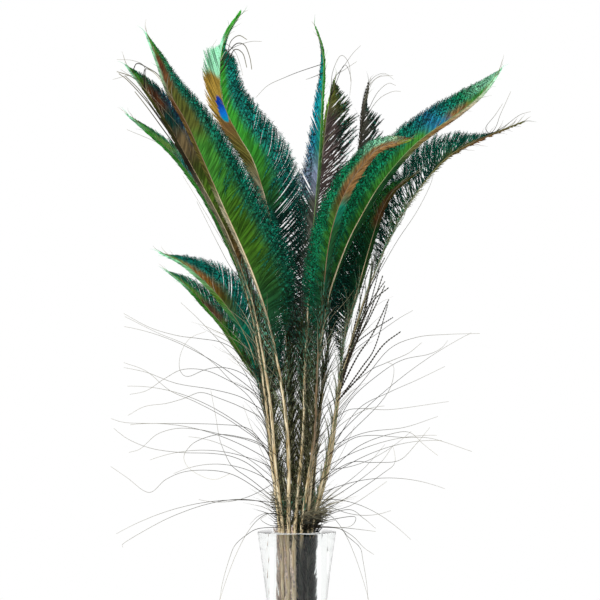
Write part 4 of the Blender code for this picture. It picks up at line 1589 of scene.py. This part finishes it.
def grow_tangle(quill, seed):
    """Stray barbs across the open lower part of the broad vane."""
    line = vane_line(quill, True)
    fewest, most = TANGLE_ROOTS
    upto = max(fewest, min(most, round(ROOTS * quill.feather.open_to)))
    lower = {key: rows[:upto] for key, rows in line.items()}
    lower["reach"] = lower["reach"] * 0.95
    lower["loose"] = np.full(upto, 0.7)
    count = round(quill.feather.barbs * quill.feather.stray)
    return grow_loose(quill, lower, seed, "broad", Barbs=count, Around=0.3)


print(round(sum(f.barbs * f.stray for f in FEATHERS)), "barbs lie across the vanes")

# %% [markdown]
# ## Hairs
#
# Loose barbs that stand out on their own are known by their courses, so those in the
# table and the few of the solids are each swept along its own line. Most are 0.7 mm
# thick at the root and less than half of that at the end. A wire of one thickness would
# look drawn, so they taper, and the beaded ones swell at every other point.

# %% Hairs
HAIR_HALF = {"plain": 0.34, "beaded": 0.56, "thick": 0.58}
HAIR_TAPER = 0.2
BEAD = 0.8


def strand(place, kind="plain"):
    share = np.linspace(0.0, 1.0, len(place))
    beaded = kind == "beaded"
    return {
        "place": place, "half": (HAIR_HALF[kind] - HAIR_TAPER * share) * MM,
        "along": share * (0.4 if beaded else 1.0),
        "bead": np.full(len(place), BEAD * beaded),
    }


def grow_hairs(quill):
    lines = []
    for root, depth, course, *kind in HAIRS[quill.feather.name]:
        start = quill.place(quill.at_height(root))
        from_depth = start[1] / MM
        points = [start]
        for k, (across, up) in enumerate(course, 1):
            y = from_depth + (depth - from_depth) * k / len(course)
            points.append(seen_at(across, y, up))
        lines.append(strand(smooth_curve(points, 8), *kind))
    for root, tip, sag in quill.feather.wisps:
        start, tip = quill.place(quill.at_height(root)), np.array(tip) * MM
        middle = 0.5 * (start + tip) - np.array((0.0, 0.0, sag)) * MM
        t = np.linspace(0.0, 1.0, 40)[:, None]
        lines.append(strand(start * (1 - t) ** 2 + middle * 2 * t * (1 - t) + tip * t * t))
    values = {
        "Sides": 4, "Step": 1.6 * MM, "Smooth": False,
        "Material": BARB_MATERIALS[quill.feather.name],
    }
    return grow("hairs", lines, SWEEP, {**values, **lane("hair")})


print("half thickness of a hair in mm:", HAIR_HALF)

# %% [markdown]
# ## Every feather
#
# A feather grew as one piece, so all its parts are joined to one mesh that takes the
# place of its solid. Each part has a seed of its own, so every run gives the same
# bunch.


# %% Grow every feather
def join(name, things):
    with bpy.context.temp_override(
        active_object=things[0], selected_editable_objects=things
    ):
        bpy.ops.object.join()
    whole = things[0]
    whole.name = whole.data.name = name
    return whole


for row, feather in enumerate(FEATHERS):
    quill, seed = quills[feather.name], 10 * row
    piece = join("grown_" + feather.name, [
        grow_vane(quill, True, seed + 1), grow_vane(quill, False, seed + 2),
        grow_tip_wisps(quill, True, seed + 3), grow_tip_wisps(quill, False, seed + 4),
        grow_tangle(quill, seed + 5), *grow_down(quill, seed + 1000),
        grow_quill(quill), grow_hairs(quill),
    ])
    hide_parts("feather_" + feather.name)
    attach(piece, "root")
    triangles = sum(len(p.vertices) - 2 for p in piece.data.polygons)
    print(f"{piece.name}: {triangles} triangles")

# %% [markdown]
# ## The vase
#
# The vase was turned or pressed in one piece, so it is a profile turned about its axis:
# the waisted outside, a softly broken rim, the straight well and its floor. The solid
# has 32 sides, and glass shows every flat through its walls, so here there are 128 and
# the long faces are shaded smooth. Edges sharper than 35 degrees stay crisp.
#
# Clear glass needs no painting. It is plain transmission with the refraction of
# glass, and the thick wall does the rest.

# %% Glass
VASE_SIDES = 128
WALL_LEVELS = 60
CRISP_FROM = math.radians(35)


def outer_radius(height):
    if height >= WAIST_HEIGHT:
        share = (height - WAIST_HEIGHT) / (VASE_HEIGHT - WAIST_HEIGHT)
        return WAIST_RADIUS + (RIM_RADIUS - WAIST_RADIUS) * share**FLARE_UP
    share = (WAIST_HEIGHT - height) / WAIST_HEIGHT
    return WAIST_RADIUS + (FOOT_RADIUS - WAIST_RADIUS) * share**FLARE_DOWN


def vase_profile():
    levels = np.linspace(EDGE_BREAK, VASE_HEIGHT - EDGE_BREAK, WALL_LEVELS)
    wall = [(outer_radius(h), h) for h in levels]
    rounding = 0.3 * EDGE_BREAK
    return [
        (0.0, 0.0), (FOOT_RADIUS - EDGE_BREAK, 0.0), *wall,
        (RIM_RADIUS - rounding, VASE_HEIGHT - rounding),
        (RIM_RADIUS - EDGE_BREAK, VASE_HEIGHT), (WELL_RADIUS + EDGE_BREAK, VASE_HEIGHT),
        (WELL_RADIUS, VASE_HEIGHT - EDGE_BREAK), (WELL_RADIUS, WELL_FLOOR + EDGE_BREAK),
        (WELL_RADIUS - EDGE_BREAK, WELL_FLOOR), (0.0, WELL_FLOOR),
    ]


def placed(name, bm):
    """A new object with this mesh, at the origin."""
    mesh = bpy.data.meshes.new(name)
    bm.to_mesh(mesh)
    bm.free()
    thing = bpy.data.objects.new(name, mesh)
    bpy.context.scene.collection.objects.link(thing)
    return thing


def turned_solid(name, profile, sides):
    bm = bmesh.new()
    rings = []
    for radius, height in profile:
        turns = [2 * math.pi * k / sides for k in range(sides)] if radius else [0.0]
        places = [(radius * math.cos(a), radius * math.sin(a), height) for a in turns]
        rings.append([bm.verts.new(Vector(p) * MM) for p in places])
    for low, high in zip(rings, rings[1:]):
        for k in range(sides):
            corners = [low[k % len(low)], low[(k + 1) % len(low)],
                       high[(k + 1) % len(high)], high[k % len(high)]]
            bm.faces.new(dict.fromkeys(corners))
    bmesh.ops.recalc_face_normals(bm, faces=bm.faces)
    for face in bm.faces:
        face.smooth = True
    for line in bm.edges:
        line.smooth = line.calc_face_angle(0.0) < CRISP_FROM
    return placed(name, bm)


vase = turned_solid("glass_vase", vase_profile(), VASE_SIDES)
glass, shader = new_material("clear glass", 0.0, IOR=1.5, Transmission_Weight=1.0)
shader.inputs["Base Color"].default_value = (0.97, 0.99, 0.98, 1.0)
vase.data.materials.append(glass)
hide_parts("vase")
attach(vase, "root")
print("vase:", len(vase.data.polygons), "faces")

# %% [markdown]
# ## The floor
#
# The vase stands on a plain pale floor that lies below the picture's lower edge. A
# plane as far as the eye can see would do, but a disc is enough. Its top is a hair
# lower than the vase's foot, because two faces in one plane would flicker.

# %% Floor
FLOOR_DROP = 0.3 * MM
bm = bmesh.new()
bmesh.ops.create_circle(bm, cap_ends=True, segments=96, radius=1.1)
floor = placed("floor", bm)
paint, shader = new_material("pale floor", 0.6)
shader.inputs["Base Color"].default_value = (0.86, 0.86, 0.86, 1.0)
floor.data.materials.append(paint)
floor.location.z = -FLOOR_DROP
print(f"the floor lies {-floor.location.z / MM:.1f} mm under the foot")

# %% [markdown]
# ## The white surround
#
# The bunch is seen on pure white. But clear glass vanishes in a room that is white all
# round, so a studio puts dark cards beside it. Cards would show in the other views. So
# the surround does their work: rays that have been through the glass, or are mirrored
# by it, meet it dim on the viewer's side, and bright behind the vase and above and
# below. Seen directly it is plain white everywhere.

# %% Surround
PLAIN_LIGHT = 0.55
BACKGROUND_EXTRA = 0.45
DARK_CARD, LIGHT_CARD = -0.45, 0.45

world = bpy.data.worlds.new("white surround")
world.use_nodes = True
path = put(world.node_tree, "ShaderNodeLightPath")
_, backward, upward = parts(put(world.node_tree, "ShaderNodeTexCoord"))
steep = upward.do("ABSOLUTE").ramp(0.1, 0.35)
bright = path["Is Camera Ray"]
through = path["Is Singular Ray"].do("MAXIMUM", path["Is Transmission Ray"])
mirrored = through * (1.0 - bright)
cards = backward.ramp(-0.3, 0.4, DARK_CARD, LIGHT_CARD)
level = cards.do("MAXIMUM", steep * 0.8 + DARK_CARD)
strength = bright * BACKGROUND_EXTRA + mirrored * level + PLAIN_LIGHT
surround = world.node_tree.nodes["Background"]
surround.inputs["Color"].default_value = (1.0, 1.0, 1.0, 1.0)
world.node_tree.links.new(strength.socket, surround.inputs["Strength"])
bpy.context.scene.world = world
print("the background is seen at", round(PLAIN_LIGHT + BACKGROUND_EXTRA, 2), "of white")

# %% [markdown]
# ## Lights and camera
#
# One soft key light from the upper left models the quills, and a weaker one from behind
# lifts the edges of the vanes. Both are broad discs, as a small lamp would put a hard
# spark on every barb. The camera stands three metres in front, level with the middle of
# the picture, and one millimetre at the vase is one of the picture's 600 pixels.


# %% Lights and camera
def area_light(name, place, size, power, target=(0.0, 0.0, 0.4)):
    data = bpy.data.lights.new(name, "AREA")
    data.shape, data.size, data.energy = "DISK", size, power
    thing = bpy.data.objects.new(name, data)
    thing.location = place
    beam = Vector(target) - Vector(place)
    thing.rotation_euler = beam.to_track_quat("-Z", "Y").to_euler()
    bpy.context.scene.collection.objects.link(thing)
    print(f"{name}: {power:.0f} W")


area_light("key", (-1.4, -2.2, 1.9), 1.2, 60.0)
area_light("back fill", (0.9, 2.6, 1.7), 1.6, 30.0)

PICTURE = 600.0
camera_data = bpy.data.cameras.new("front view")
camera_data.sensor_width = 36.0
camera_data.lens = camera_data.sensor_width * VIEW_DISTANCE / PICTURE
camera = bpy.data.objects.new("front view", camera_data)
camera.location = (3.2 * MM, -VIEW_DISTANCE * MM, 431.5 * MM)
camera.rotation_euler = (math.radians(90.0), 0.0, 0.0)
bpy.context.scene.collection.objects.link(camera)
bpy.context.scene.camera = camera
bpy.context.scene.view_settings.view_transform = "Standard"
print("lens", camera_data.lens, "mm")
